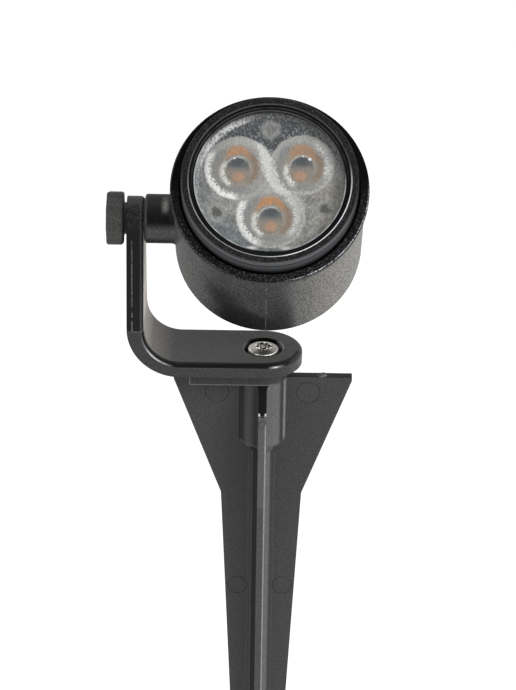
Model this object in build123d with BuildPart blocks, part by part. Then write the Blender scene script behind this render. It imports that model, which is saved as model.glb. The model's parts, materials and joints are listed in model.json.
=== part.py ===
from build123d import *

import os
from math import cos, radians, sin

# Garden spike spotlight. Millimetres, +Z up. The origin is on the spike's axis at the
# ground line, level with the top of its two wings. The light looks towards -Y and up.
os.makedirs("parts", exist_ok=True)

# ---------------------------------------------------------------- driving dimensions
# ground spike: two wings across X, two fins across Y, a round core and a screw boss
WING_TOP_HALF = 23.4  # half width of the wings at the ground line
WING_LIP = 1.0  # upright end of each wing's top corner
WING_KINK_HALF = 10.8  # half width where the shoulder turns into the blade
WING_KINK_Z = -35.5
BLADE_END_HALF = 4.9  # half width of the blade where the point starts
BLADE_END_Z = -165.0
TIP_HALF = 0.7
TIP_Z = -195.0
WING_THICK = 2.5
FIN_THICK = 2.1
FIN_TOP_DEPTH = 11.1  # how far a fin's edge stands from the axis at its top
FIN_TOP_Z = -6.2
FIN_START_Z = -0.5  # where the fin's slanting top leaves the boss
CORE_R = 2.75
CORE_FILLET = 0.55
BOSS_R = 5.75
BOSS_FILLET = 1.2
BOSS_END_Z = -18.9
SHOULDER_END_Z = -22.4
TAB_LENGTH = 7.0  # key on the left wing that stops the bracket turning
TAB_X = -13.2
TAB_HEIGHT = 2.0
MARK_R = 3.2  # ring left by an ejector pin on the moulding
MARK_GROOVE = 0.2
MARK_DEPTH = 0.12
UPPER_MARKS = (11.95, -4.7)
LOWER_MARK_R = 2.75
LOWER_MARKS = (6.05, -65.2)
GATE_X = 15.8  # trimmed moulding gate on the right wing's top
GATE_R = 0.95
GATE_HEIGHT = 0.45
GATE_TAPER = 30.0
CORNER_REACH = 0.1  # corners this close to the core or boss are its own, and are filleted

# brass insert and screw that hold the bracket on the spike
SPIKE_INSERT_R = 3.0
SPIKE_INSERT_DEPTH = 9.5
SCREW_THREAD_R = 2.0
SCREW_HEAD_R = 4.0
SCREW_HEAD_SIDE = 2.3
SCREW_HEAD_HEIGHT = 3.05
SCREW_FLAT_R = 0.5  # flat middle of the domed top
SCREW_DOME_R = 2.3  # control point of the dome
SCREW_EDGE = 0.3
SCREW_LENGTH = 12.0
SOCKET_CORE_R = 1.65
SOCKET_LOBE_RING_R = 1.6
SOCKET_LOBE_R = 0.62
SOCKET_DEPTH = 1.7

# bracket: flat foot, bend and tapering arm
FOOT_R = 10.2  # half width of the foot and radius of its round end
FOOT_TOP = 8.0
FOOT_THICK = 3.75
PAD_R = 6.4  # pad under the foot, a bar with one round end
PAD_LEFT = -19.2
ARM_OUTER = -35.1
ARM_INNER = -30.7
BEND_OUTER_R = 13.6
BEND_INNER_R = 9.3
EYE_R = 5.75
EYE_BORE_R = 2.58
EDGE_FILLET = 1.0
POCKET_LENGTH = 7.4  # pocket in the pad for the spike's key
POCKET_WIDTH = 2.7
POCKET_HEIGHT = 2.3
COUNTERBORE_R = 5.1
COUNTERBORE_FLOOR = 5.4
COUNTERBORE_CHAMFER = 0.25
SCREW_HOLE_R = 2.25

# pivot and the head's own frame
PIVOT_Z = 44.6
HEAD_X = 0.9  # the light's axis stands this far from the spike's axis
AIM = 46.0  # degrees above the horizontal

# places along the light's axis, measured from the pivot
REAR = -17.9
CAVITY_FLOOR = -13.9
LEDGE = 9.0
GROOVE_FLOOR = 18.2
RIM_BACK = 20.1
RIM_FRONT = 21.9
BEZEL_FRONT = 27.85

# lamp housing
HOUSING_FRONT_R = 23.75
HOUSING_REAR_R = 24.25
RIM_R = 24.6
GROOVE_R = 22.55  # open gap round the bezel ring
BORE_R = 21.0
CAVITY_R = 18.6
REAR_FILLET = 2.2
RIM_FILLET = 0.45
SPIGOT_R = 6.3
SPIGOT_END = -30.5
SPIGOT_ROOT = -20.5
SPIGOT_BLEND = 1.8
SPIGOT_EDGE = 0.6

# pivot hardware
THREAD_R = 2.5
THREAD_FIT = 0.05
PIVOT_INSERT_R = 3.6
PIVOT_INSERT_END = -22.9
STUD_END = -23.6
STUD_CHAMFER = 0.5
STUD_HEAD_START = -39.2
STUD_HEAD_END = -36.9
STUD_HEAD_FLATS = 7.4
FRICTION_R = 5.2
FRICTION_BORE_R = 2.9
FRICTION_THICK = 1.2
FRICTION_SEAT_R = 5.5
FRICTION_SEAT_FLOOR = -29.45
WASHER_R = 4.1
WASHER_BORE_R = 2.58
WASHER_THICK = 0.9
KNOB_THICK = 4.25
KNOB_VALLEY_R = 6.6
KNOB_LOBES = 8
LOBE_R = 1.75
LOBE_CENTRE_R = 5.35
LOBE_BLEND = 0.9
KNOB_ROUND = 0.6
KNOB_DISH_R = 4.2
KNOB_DISH_DEPTH = 0.5

# bezel ring, glass and seals
BEZEL_SHOULDER = 19.4
BEZEL_SHOULDER_R = 21.9
BEZEL_FACE_R = 21.75
BEZEL_SKIRT_R = 20.95
BEZEL_BORE_R = 19.8
BEZEL_FACE_INNER_R = 20.15
BEZEL_EDGE = 0.3
BEVEL_R = 19.75
BEVEL_DEPTH = 0.35
LIP_R = 18.4
LIP_THICK = 0.2
GLASS_FRONT = 26.95
GLASS_BACK = 24.45
GLASS_R = 19.7
GLASS_CHAMFER = 0.25
GASKET_R = 19.2
SEAL_RING_R = 21.72
SEAL_SECTION_R = 0.6

# optics and light source
SPREADER_TOP = 12.0
SPREADER_R = 20.9
PAD_TOP = 12.5
THERMAL_PAD_R = 17.2
BOARD_TOP = 14.1
BOARD_R = 17.9
LIGHTS = 3
CELL_RING_R = 9.2
CELL_START = 30.0  # angle of the first cell round the light's axis
CELL_R = 7.8
CELL_BASE_R = 3.2
CELL_SIDE = (6.4, 18.4)  # control point of the collimator's curved side
CELL_BACK = 15.5
OPTIC_BACK = 22.7
OPTIC_FRONT = 23.9
CELL_FRONT = 24.35
CELL_SEAT_R = 6.4  # hole in the optic's plate that each collimator fills
OPTIC_R = 19.5
CELL_WELL_R = 5.0
CELL_WELL_FLOOR_R = 4.5
CELL_WELL_FLOOR = 22.8
DOME_R = 3.1
DOME_TOP = 24.1
DOME_SIDE = (2.3, 24.1)  # control point of the dome's side
DOME_FLAT_R = 0.5
POCKET_R = 2.5
POCKET_TOP = 18.6
POST_RING_R = 14.8
POST_R = 2.0
POST_START = 90.0
POST_DIMPLE = 0.5
EMITTER_SIDE = 3.45
EMITTER_BASE = 0.7
EMITTER_DOME_R = 1.4
BOARD_SCREW_RING_R = 15.6
BOARD_SCREW_START = 70.0
BOARD_SCREW_R = 1.0
BOARD_SCREW_HEAD_R = 1.7
BOARD_SCREW_HEAD = 1.2
BOARD_SCREW_LENGTH = 4.2
LEAD_GAP = 2.4  # between the two supply leads
LEAD_R = 0.5
LEAD_HOLE_R = 2.4
LEAD_FRONT = 14.6

# driver in the rear of the housing
DRIVER_BACK = -4.7
DRIVER_FRONT = -3.1
DRIVER_R = 17.6
DRIVER_POST_RING_R = 14.6
DRIVER_POST_R = 2.4
DRIVER_SCREW_R = 1.0
DRIVER_SCREW_HEAD_R = 1.7
DRIVER_SCREW_HEAD = 1.2
DRIVER_SCREW_LENGTH = 6.0
INDUCTOR_R = 4.9
INDUCTOR_HEIGHT = 6.5
INDUCTOR_WAIST_R = 3.9
INDUCTOR_FLANGE = 1.1
INDUCTOR_AT = (-8.4, 0.0)
CAPACITOR_R = 3.15
CAPACITOR_HEIGHT = 9.0
CAPACITOR_EDGE = 0.5
CAPACITOR_AT = ((7.6, 5.4), (7.6, -5.4))

# cable gland in the rear wall
GLAND_BORE_R = 2.8
GLAND_THREAD_R = 5.0
GLAND_FLATS = 14.0
GLAND_FLANGE = 2.6
LOCKNUT_THICK = 2.4
GLAND_NECK_R = 5.2
GLAND_NECK_END = -25.6
SEAL_R = 4.0
SEAL_START = -19.4
SEAL_END = -26.6
CAP_BACK = -28.6
CAP_SHOULDER = -25.6
CAP_SKIRT = -21.2
CAP_FLATS = 13.0
CAP_DOME_R = 4.6

# ---------------------------------------------------------------- shared frames
aim_dir = Vector(0, -cos(radians(AIM)), sin(radians(AIM)))
pivot = Vector(HEAD_X, 0, PIVOT_Z)
head = Plane(origin=pivot, x_dir=(1, 0, 0), z_dir=aim_dir)
head_axis = Axis(pivot, aim_dir)
# a turned part's half section: local x is the radius, local y runs along the light's axis
head_section = Plane(origin=pivot, x_dir=(1, 0, 0), z_dir=-head.y_dir)
# the pivot's cross planes: offset by a place on the X axis
across_pivot = Plane(origin=(0, 0, PIVOT_Z), x_dir=(0, 1, 0), z_dir=(1, 0, 0))


def finish(part, name):
    """Label a piece and write it as parts/NAME.step."""
    part.label = name
    export_step(part, f"parts/{name}.step")


def blade_section(height, wing_half, fin_half, core_r, core_fillet):
    """The spike's cross section: two wings, two fins and a round core blended into them."""
    with BuildSketch(Plane.XY.offset(height)) as section:
        Rectangle(2 * wing_half, WING_THICK)
        Rectangle(FIN_THICK, 2 * fin_half)
        Circle(core_r)
        inner = [v for v in vertices() if v.center().length < core_r + CORNER_REACH]
        fillet(inner, core_fillet)
    return section.sketch


# ---------------------------------------------------------------- ground spike
with BuildPart() as ground_spike:
    blade = blade_section(TIP_Z, WING_TOP_HALF, FIN_TOP_DEPTH, CORE_R, CORE_FILLET)
    extrude(blade, amount=BOSS_END_Z - TIP_Z)
    boss = blade_section(BOSS_END_Z, WING_TOP_HALF, FIN_TOP_DEPTH, BOSS_R, BOSS_FILLET)
    extrude(boss, amount=-BOSS_END_Z)
    # shoulder that narrows the screw boss into the core
    boss_reach = BOSS_R + BOSS_FILLET
    core_reach = CORE_R + CORE_FILLET
    upper = blade_section(BOSS_END_Z, boss_reach, boss_reach, BOSS_R, BOSS_FILLET)
    lower = blade_section(SHOULDER_END_Z, core_reach, core_reach, CORE_R, CORE_FILLET)
    loft([upper, lower], ruled=True)
    # outline seen from the front, then from the side
    with BuildSketch(Plane.XZ):
        with BuildLine():
            right = Polyline(
                (0, 0),
                (WING_TOP_HALF, 0),
                (WING_TOP_HALF, -WING_LIP),
                (WING_KINK_HALF, WING_KINK_Z),
                (BLADE_END_HALF, BLADE_END_Z),
                (TIP_HALF, TIP_Z),
                (0, TIP_Z),
            )
            mirror(right, about=Plane.YZ)
        make_face()
    extrude(amount=2 * FIN_TOP_DEPTH, both=True, mode=Mode.INTERSECT)
    with BuildSketch(Plane.YZ):
        with BuildLine():
            back = Polyline(
                (0, 0),
                (BOSS_R, 0),
                (BOSS_R, FIN_START_Z),
                (FIN_TOP_DEPTH, FIN_TOP_Z),
                (BLADE_END_HALF, BLADE_END_Z),
                (TIP_HALF, TIP_Z),
                (0, TIP_Z),
            )
            mirror(back, about=Plane.YZ)
        make_face()
    extrude(amount=2 * WING_TOP_HALF, both=True, mode=Mode.INTERSECT)
    # key that enters the bracket's pad, and the trimmed gate
    with BuildSketch(Plane.XY):
        with Locations((TAB_X, 0)):
            Rectangle(TAB_LENGTH, WING_THICK)
    extrude(amount=TAB_HEIGHT)
    with BuildSketch(Plane.XY):
        with Locations((GATE_X, 0)):
            Circle(GATE_R)
    extrude(amount=GATE_HEIGHT, taper=GATE_TAPER)
    # hole for the threaded insert, with room for the screw's end
    with BuildSketch(Plane.XY):
        Circle(SPIKE_INSERT_R)
    extrude(amount=-SPIKE_INSERT_DEPTH, mode=Mode.SUBTRACT)
    # ejector pin rings on the front of the wings
    with BuildSketch(Plane.XZ.offset(WING_THICK / 2)):
        for side in (-1, 1):
            with Locations((side * UPPER_MARKS[0], UPPER_MARKS[1])):
                Circle(MARK_R)
                Circle(MARK_R - MARK_GROOVE, mode=Mode.SUBTRACT)
            with Locations((side * LOWER_MARKS[0], LOWER_MARKS[1])):
                Circle(LOWER_MARK_R)
                Circle(LOWER_MARK_R - MARK_GROOVE, mode=Mode.SUBTRACT)
    extrude(amount=-MARK_DEPTH, mode=Mode.SUBTRACT)
finish(ground_spike.part, "ground_spike")

with BuildPart() as spike_insert:
    with BuildSketch(Plane.XY):
        Circle(SPIKE_INSERT_R)
        Circle(SCREW_THREAD_R, mode=Mode.SUBTRACT)
    extrude(amount=-SPIKE_INSERT_DEPTH)
finish(spike_insert.part, "spike_insert")

with BuildPart() as foot_screw:
    side_top = COUNTERBORE_FLOOR + SCREW_HEAD_SIDE
    head_top = COUNTERBORE_FLOOR + SCREW_HEAD_HEIGHT
    with BuildSketch(Plane.XZ):
        with BuildLine():
            Polyline(
                (SCREW_FLAT_R, head_top),
                (0, head_top),
                (0, COUNTERBORE_FLOOR - SCREW_LENGTH),
                (SCREW_THREAD_R, COUNTERBORE_FLOOR - SCREW_LENGTH),
                (SCREW_THREAD_R, COUNTERBORE_FLOOR),
                (SCREW_HEAD_R, COUNTERBORE_FLOOR),
                (SCREW_HEAD_R, side_top),
            )
            Bezier((SCREW_HEAD_R, side_top), (SCREW_DOME_R, head_top), (SCREW_FLAT_R, head_top))
        make_face()
        fillet(vertices().sort_by_distance(Vector(SCREW_HEAD_R, side_top))[0], SCREW_EDGE)
    revolve(axis=Axis.Z)
    # six-lobed socket
    with BuildSketch(Plane.XY.offset(head_top)):
        Circle(SOCKET_CORE_R)
        with PolarLocations(SOCKET_LOBE_RING_R, 6):
            Circle(SOCKET_LOBE_R)
    extrude(amount=-SOCKET_DEPTH, mode=Mode.SUBTRACT)
finish(foot_screw.part, "foot_screw")

# ---------------------------------------------------------------- bracket
foot_bottom = FOOT_TOP - FOOT_THICK
bend_end_z = foot_bottom + BEND_OUTER_R
arm_top = PIVOT_Z + EYE_R
bend_centre = Vector(ARM_INNER + BEND_INNER_R, 0, FOOT_TOP + BEND_INNER_R)


def on_upper_side(edge):
    """True for the rim of the foot's top, the inside of the bend and the arm's inner face."""
    middle = edge @ 0.5
    on_top = abs(middle.Z - FOOT_TOP) < 0.01
    on_arm = abs(middle.X - ARM_INNER) < 0.01
    from_centre = Vector(middle.X - bend_centre.X, 0, middle.Z - bend_centre.Z).length
    return on_top or on_arm or abs(from_centre - BEND_INNER_R) < 0.01


with BuildPart() as bracket:
    with BuildSketch(Plane.XZ):
        with BuildLine():
            Polyline(
                (FOOT_R, foot_bottom),
                (FOOT_R, FOOT_TOP),
                (ARM_INNER, FOOT_TOP),
                (ARM_INNER, arm_top),
                (ARM_OUTER, arm_top),
                (ARM_OUTER, foot_bottom),
                close=True,
            )
        make_face()
        fillet(vertices().sort_by_distance(Vector(ARM_INNER, FOOT_TOP))[0], BEND_INNER_R)
        fillet(vertices().sort_by_distance(Vector(ARM_OUTER, foot_bottom))[0], BEND_OUTER_R)
    extrude(amount=FOOT_R, both=True)
    # round end of the foot, then the taper of the arm up to its eye
    with BuildSketch(Plane.XY):
        Circle(FOOT_R)
        with Locations((ARM_OUTER, 0)):
            Rectangle(-ARM_OUTER, 2 * FOOT_R, align=(Align.MIN, Align.CENTER))
    extrude(amount=arm_top, mode=Mode.INTERSECT)
    with BuildSketch(Plane.YZ):
        Rectangle(2 * FOOT_R, bend_end_z, align=(Align.CENTER, Align.MIN))
        with Locations((0, PIVOT_Z)):
            Circle(EYE_R)
        make_hull()
    extrude(amount=-2 * ARM_OUTER, both=True, mode=Mode.INTERSECT)
    rim = edges().filter_by(Axis.Y, reverse=True)
    fillet([e for e in rim if on_upper_side(e)], EDGE_FILLET)
    # pad that stands on the spike, and the pocket for the spike's key
    with BuildSketch(Plane.XY):
        Circle(PAD_R)
        with Locations((PAD_LEFT, 0)):
            Rectangle(-PAD_LEFT, 2 * PAD_R, align=(Align.MIN, Align.CENTER))
    extrude(amount=foot_bottom)
    with BuildSketch(Plane.XY):
        with Locations((TAB_X, 0)):
            Rectangle(POCKET_LENGTH, POCKET_WIDTH)
    extrude(amount=POCKET_HEIGHT, mode=Mode.SUBTRACT)
    # counterbored screw hole and the eye for the pivot stud
    with BuildSketch(Plane.XY.offset(COUNTERBORE_FLOOR)):
        Circle(COUNTERBORE_R)
    extrude(amount=FOOT_TOP, mode=Mode.SUBTRACT)
    mouth = edges().filter_by(GeomType.CIRCLE).sort_by_distance((COUNTERBORE_R, 0, FOOT_TOP))[0]
    chamfer(mouth, COUNTERBORE_CHAMFER)
    with BuildSketch(Plane.XY):
        Circle(SCREW_HOLE_R)
    extrude(amount=FOOT_TOP, mode=Mode.SUBTRACT)
    with BuildSketch(across_pivot.offset(ARM_OUTER)):
        Circle(EYE_BORE_R)
    extrude(amount=ARM_INNER - ARM_OUTER, mode=Mode.SUBTRACT)
finish(bracket.part, "bracket")

with BuildPart() as friction_washer:
    with BuildSketch(across_pivot.offset(ARM_INNER)):
        Circle(FRICTION_R)
        Circle(FRICTION_BORE_R, mode=Mode.SUBTRACT)
    extrude(amount=FRICTION_THICK)
finish(friction_washer.part, "friction_washer")

# ---------------------------------------------------------------- clamping knob
washer_face = ARM_OUTER - WASHER_THICK
knob_outer = washer_face - KNOB_THICK

with BuildPart() as clamp_washer:
    with BuildSketch(across_pivot.offset(washer_face)):
        Circle(WASHER_R)
        Circle(WASHER_BORE_R, mode=Mode.SUBTRACT)
    extrude(amount=WASHER_THICK)
finish(clamp_washer.part, "clamp_washer")

with BuildPart() as knob_stud:
    with BuildSketch(across_pivot.offset(STUD_HEAD_START)):
        RegularPolygon(STUD_HEAD_FLATS / 2, 6, major_radius=False)
    extrude(amount=STUD_HEAD_END - STUD_HEAD_START)
    with BuildSketch(across_pivot.offset(STUD_HEAD_END)):
        Circle(THREAD_R)
    extrude(amount=STUD_END - STUD_HEAD_END)
    chamfer(edges().filter_by(GeomType.CIRCLE).sort_by(Axis.X)[-1], STUD_CHAMFER)
finish(knob_stud.part, "knob_stud")

with BuildPart() as knob:
    with BuildSketch(across_pivot.offset(knob_outer)):
        Circle(KNOB_VALLEY_R)
        with PolarLocations(LOBE_CENTRE_R, KNOB_LOBES):
            Circle(LOBE_R)
        fillet(vertices(), LOBE_BLEND)
    extrude(amount=KNOB_THICK)
    outer_rim = edges().group_by(Axis.X)[0]
    inner_rim = edges().group_by(Axis.X)[-1]
    fillet(outer_rim + inner_rim, KNOB_ROUND)
    with BuildSketch(across_pivot.offset(knob_outer)):
        Circle(KNOB_DISH_R)
    extrude(amount=KNOB_DISH_DEPTH, mode=Mode.SUBTRACT)
    # moulded round the head of the stud
    with BuildSketch(across_pivot.offset(STUD_HEAD_START)):
        RegularPolygon(STUD_HEAD_FLATS / 2, 6, major_radius=False)
    extrude(amount=STUD_HEAD_END - STUD_HEAD_START, mode=Mode.SUBTRACT)
    with BuildSketch(across_pivot.offset(STUD_HEAD_END)):
        Circle(THREAD_R)
    extrude(amount=washer_face - STUD_HEAD_END, mode=Mode.SUBTRACT)
finish(knob.part, "knob")

# ---------------------------------------------------------------- lamp housing
with BuildPart() as lamp_housing:
    with BuildSketch(head_section):
        with BuildLine():
            Polyline(
                (0, REAR),
                (HOUSING_REAR_R, REAR),
                (HOUSING_FRONT_R, RIM_BACK),
                (RIM_R, RIM_BACK),
                (RIM_R, RIM_FRONT),
                (GROOVE_R, RIM_FRONT),
                (GROOVE_R, GROOVE_FLOOR),
                (BORE_R, GROOVE_FLOOR),
                (BORE_R, LEDGE),
                (CAVITY_R, LEDGE),
                (CAVITY_R, CAVITY_FLOOR),
                (0, CAVITY_FLOOR),
                close=True,
            )
        make_face()
        fillet(vertices().sort_by_distance(Vector(HOUSING_REAR_R, REAR))[0], REAR_FILLET)
        fillet(vertices().sort_by_distance(Vector(RIM_R, RIM_FRONT))[0], RIM_FILLET)
        fillet(vertices().sort_by_distance(Vector(RIM_R, RIM_BACK))[0], RIM_FILLET)
    revolve(axis=head_axis)
    # side spigot that the arm clamps, blended into the wall
    with BuildSketch(across_pivot.offset(SPIGOT_END)):
        Circle(SPIGOT_R)
    extrude(amount=SPIGOT_ROOT - SPIGOT_END)
    fillet(edges().filter_by(GeomType.BSPLINE), SPIGOT_BLEND)
    fillet(edges().filter_by(GeomType.CIRCLE).sort_by(Axis.X)[0], SPIGOT_EDGE)
    with BuildSketch(across_pivot.offset(SPIGOT_END)):
        Circle(FRICTION_SEAT_R)
    extrude(amount=FRICTION_SEAT_FLOOR - SPIGOT_END, mode=Mode.SUBTRACT)
    with BuildSketch(across_pivot.offset(SPIGOT_END)):
        Circle(PIVOT_INSERT_R)
    extrude(amount=PIVOT_INSERT_END - SPIGOT_END, mode=Mode.SUBTRACT)
    # rear hole for the gland, and posts for the driver board
    with BuildSketch(head.offset(REAR)):
        Circle(GLAND_THREAD_R)
    extrude(amount=CAVITY_FLOOR - REAR, mode=Mode.SUBTRACT)
    with BuildSketch(head.offset(CAVITY_FLOOR)):
        with PolarLocations(DRIVER_POST_RING_R, 2, start_angle=90):
            Circle(DRIVER_POST_R)
    extrude(amount=DRIVER_BACK - CAVITY_FLOOR)
    with BuildSketch(head.offset(DRIVER_BACK)):
        with PolarLocations(DRIVER_POST_RING_R, 2, start_angle=90):
            Circle(DRIVER_SCREW_R)
    extrude(amount=-DRIVER_SCREW_LENGTH, mode=Mode.SUBTRACT)
finish(lamp_housing.part, "lamp_housing")

with BuildPart() as pivot_insert:
    with BuildSketch(across_pivot.offset(FRICTION_SEAT_FLOOR)):
        Circle(PIVOT_INSERT_R)
        Circle(THREAD_R + THREAD_FIT, mode=Mode.SUBTRACT)
    extrude(amount=PIVOT_INSERT_END - FRICTION_SEAT_FLOOR)
finish(pivot_insert.part, "pivot_insert")

# ---------------------------------------------------------------- bezel, glass and seals
with BuildPart() as bezel_ring:
    with BuildSketch(head_section):
        with BuildLine():
            Polyline(
                (BEZEL_BORE_R, SPREADER_TOP),
                (BEZEL_SKIRT_R, SPREADER_TOP),
                (BEZEL_SKIRT_R, BEZEL_SHOULDER),
                (BEZEL_SHOULDER_R, BEZEL_SHOULDER),
                (BEZEL_FACE_R, BEZEL_FRONT),
                (BEZEL_FACE_INNER_R, BEZEL_FRONT),
                (BEVEL_R, BEZEL_FRONT - BEVEL_DEPTH),
                (LIP_R, GLASS_FRONT + LIP_THICK),
                (LIP_R, GLASS_FRONT),
                (BEZEL_BORE_R, GLASS_FRONT),
                close=True,
            )
        make_face()
        fillet(vertices().sort_by_distance(Vector(BEZEL_FACE_R, BEZEL_FRONT))[0], BEZEL_EDGE)
    revolve(axis=head_axis)
finish(bezel_ring.part, "bezel_ring")

with BuildPart() as front_glass:
    with BuildSketch(head.offset(GLASS_BACK)):
        Circle(GLASS_R)
    extrude(amount=GLASS_FRONT - GLASS_BACK)
    chamfer(edges().filter_by(GeomType.CIRCLE), GLASS_CHAMFER)
finish(front_glass.part, "front_glass")

with BuildPart() as glass_gasket:
    with BuildSketch(head.offset(OPTIC_FRONT)):
        Circle(GLASS_R)
        Circle(GASKET_R, mode=Mode.SUBTRACT)
    extrude(amount=GLASS_BACK - OPTIC_FRONT)
finish(glass_gasket.part, "glass_gasket")

with BuildPart() as bezel_seal:
    with BuildSketch(head_section):
        with Locations((SEAL_RING_R, GROOVE_FLOOR + SEAL_SECTION_R)):
            Circle(SEAL_SECTION_R)
    revolve(axis=head_axis)
finish(bezel_seal.part, "bezel_seal")

# ---------------------------------------------------------------- optics and light source
# one collimator: curved outside, well and dome in front, pocket for the emitter behind
with BuildPart() as collimator:
    with BuildSketch(Plane.XZ):
        with BuildLine():
            Polyline(
                (DOME_FLAT_R, DOME_TOP),
                (0, DOME_TOP),
                (0, POCKET_TOP),
                (POCKET_R, POCKET_TOP),
                (POCKET_R, CELL_BACK),
                (CELL_BASE_R, CELL_BACK),
            )
            Bezier((CELL_BASE_R, CELL_BACK), CELL_SIDE, (CELL_R, OPTIC_BACK))
            Polyline(
                (CELL_R, OPTIC_BACK),
                (CELL_R, CELL_FRONT),
                (CELL_WELL_R, CELL_FRONT),
                (CELL_WELL_FLOOR_R, CELL_WELL_FLOOR),
                (DOME_R, CELL_WELL_FLOOR),
            )
            Bezier((DOME_R, CELL_WELL_FLOOR), DOME_SIDE, (DOME_FLAT_R, DOME_TOP))
        make_face()
    revolve(axis=Axis.Z)

with BuildPart(head) as optic_array:
    with BuildSketch(head.offset(OPTIC_BACK)):
        Circle(OPTIC_R)
        with PolarLocations(CELL_RING_R, LIGHTS, start_angle=CELL_START):
            Circle(CELL_SEAT_R, mode=Mode.SUBTRACT)
    extrude(amount=OPTIC_FRONT - OPTIC_BACK)
    with PolarLocations(CELL_RING_R, LIGHTS, start_angle=CELL_START):
        add(collimator.part)
    # posts that stand on the light board, dimpled in front
    with BuildSketch(head.offset(BOARD_TOP)):
        with PolarLocations(POST_RING_R, LIGHTS, start_angle=POST_START):
            Circle(POST_R)
    extrude(amount=OPTIC_BACK - BOARD_TOP)
    with BuildSketch(head.offset(OPTIC_FRONT)):
        with PolarLocations(POST_RING_R, LIGHTS, start_angle=POST_START):
            Circle(POST_R)
    extrude(amount=-POST_DIMPLE, mode=Mode.SUBTRACT)
finish(optic_array.part, "optic_array")

with BuildPart(head.offset(BOARD_TOP)) as emitters:
    with PolarLocations(CELL_RING_R, LIGHTS, start_angle=CELL_START):
        Box(
            EMITTER_SIDE,
            EMITTER_SIDE,
            EMITTER_BASE,
            align=(Align.CENTER, Align.CENTER, Align.MIN),
        )
    with Locations((0, 0, EMITTER_BASE)):
        with PolarLocations(CELL_RING_R, LIGHTS, start_angle=CELL_START):
            Sphere(EMITTER_DOME_R, arc_size1=0)
finish(emitters.part, "light_emitters")

with BuildPart() as light_board:
    with BuildSketch(head.offset(PAD_TOP)):
        Circle(BOARD_R)
        with Locations((-LEAD_GAP / 2, 0), (LEAD_GAP / 2, 0)):
            Circle(LEAD_R, mode=Mode.SUBTRACT)
        with PolarLocations(BOARD_SCREW_RING_R, LIGHTS, start_angle=BOARD_SCREW_START):
            Circle(BOARD_SCREW_R, mode=Mode.SUBTRACT)
    extrude(amount=BOARD_TOP - PAD_TOP)
finish(light_board.part, "light_board")

with BuildPart() as thermal_pad:
    with BuildSketch(head.offset(SPREADER_TOP)):
        Circle(THERMAL_PAD_R)
        Circle(LEAD_HOLE_R, mode=Mode.SUBTRACT)
        with PolarLocations(BOARD_SCREW_RING_R, LIGHTS, start_angle=BOARD_SCREW_START):
            Circle(BOARD_SCREW_R, mode=Mode.SUBTRACT)
    extrude(amount=PAD_TOP - SPREADER_TOP)
finish(thermal_pad.part, "thermal_pad")

with BuildPart() as heat_spreader:
    with BuildSketch(head.offset(LEDGE)):
        Circle(SPREADER_R)
        Circle(LEAD_HOLE_R, mode=Mode.SUBTRACT)
        with PolarLocations(BOARD_SCREW_RING_R, LIGHTS, start_angle=BOARD_SCREW_START):
            Circle(BOARD_SCREW_R, mode=Mode.SUBTRACT)
    extrude(amount=SPREADER_TOP - LEDGE)
finish(heat_spreader.part, "heat_spreader")

with BuildPart() as board_screws:
    with BuildSketch(head.offset(BOARD_TOP)):
        with PolarLocations(BOARD_SCREW_RING_R, LIGHTS, start_angle=BOARD_SCREW_START):
            Circle(BOARD_SCREW_HEAD_R)
    extrude(amount=BOARD_SCREW_HEAD)
    with BuildSketch(head.offset(BOARD_TOP)):
        with PolarLocations(BOARD_SCREW_RING_R, LIGHTS, start_angle=BOARD_SCREW_START):
            Circle(BOARD_SCREW_R)
    extrude(amount=-BOARD_SCREW_LENGTH)
finish(board_screws.part, "board_screws")

# ---------------------------------------------------------------- driver
with BuildPart() as driver_board:
    with BuildSketch(head.offset(DRIVER_BACK)):
        Circle(DRIVER_R)
        with PolarLocations(DRIVER_POST_RING_R, 2, start_angle=90):
            Circle(DRIVER_SCREW_R, mode=Mode.SUBTRACT)
        with Locations((-LEAD_GAP / 2, 0), (LEAD_GAP / 2, 0)):
            Circle(LEAD_R, mode=Mode.SUBTRACT)
    extrude(amount=DRIVER_FRONT - DRIVER_BACK)
finish(driver_board.part, "driver_board")

with BuildPart() as driver_screws:
    with BuildSketch(head.offset(DRIVER_FRONT)):
        with PolarLocations(DRIVER_POST_RING_R, 2, start_angle=90):
            Circle(DRIVER_SCREW_HEAD_R)
    extrude(amount=DRIVER_SCREW_HEAD)
    with BuildSketch(head.offset(DRIVER_FRONT)):
        with PolarLocations(DRIVER_POST_RING_R, 2, start_angle=90):
            Circle(DRIVER_SCREW_R)
    extrude(amount=-DRIVER_SCREW_LENGTH)
finish(driver_screws.part, "driver_screws")

with BuildPart() as inductor:
    with BuildSketch(head.offset(DRIVER_FRONT)):
        with Locations(INDUCTOR_AT):
            Circle(INDUCTOR_R)
    extrude(amount=INDUCTOR_FLANGE)
    with BuildSketch(head.offset(DRIVER_FRONT)):
        with Locations(INDUCTOR_AT):
            Circle(INDUCTOR_WAIST_R)
    extrude(amount=INDUCTOR_HEIGHT)
    with BuildSketch(head.offset(DRIVER_FRONT + INDUCTOR_HEIGHT)):
        with Locations(INDUCTOR_AT):
            Circle(INDUCTOR_R)
    extrude(amount=-INDUCTOR_FLANGE)
finish(inductor.part, "driver_inductor")

with BuildPart() as capacitors:
    with BuildSketch(head.offset(DRIVER_FRONT)):
        with Locations(*CAPACITOR_AT):
            Circle(CAPACITOR_R)
    extrude(amount=CAPACITOR_HEIGHT)
    fillet(edges().filter_by(GeomType.CIRCLE), CAPACITOR_EDGE)
finish(capacitors.part, "driver_capacitors")

with BuildPart() as supply_leads:
    with BuildSketch(head.offset(DRIVER_BACK)):
        with Locations((-LEAD_GAP / 2, 0), (LEAD_GAP / 2, 0)):
            Circle(LEAD_R)
    extrude(amount=LEAD_FRONT - DRIVER_BACK)
finish(supply_leads.part, "supply_leads")

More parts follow.
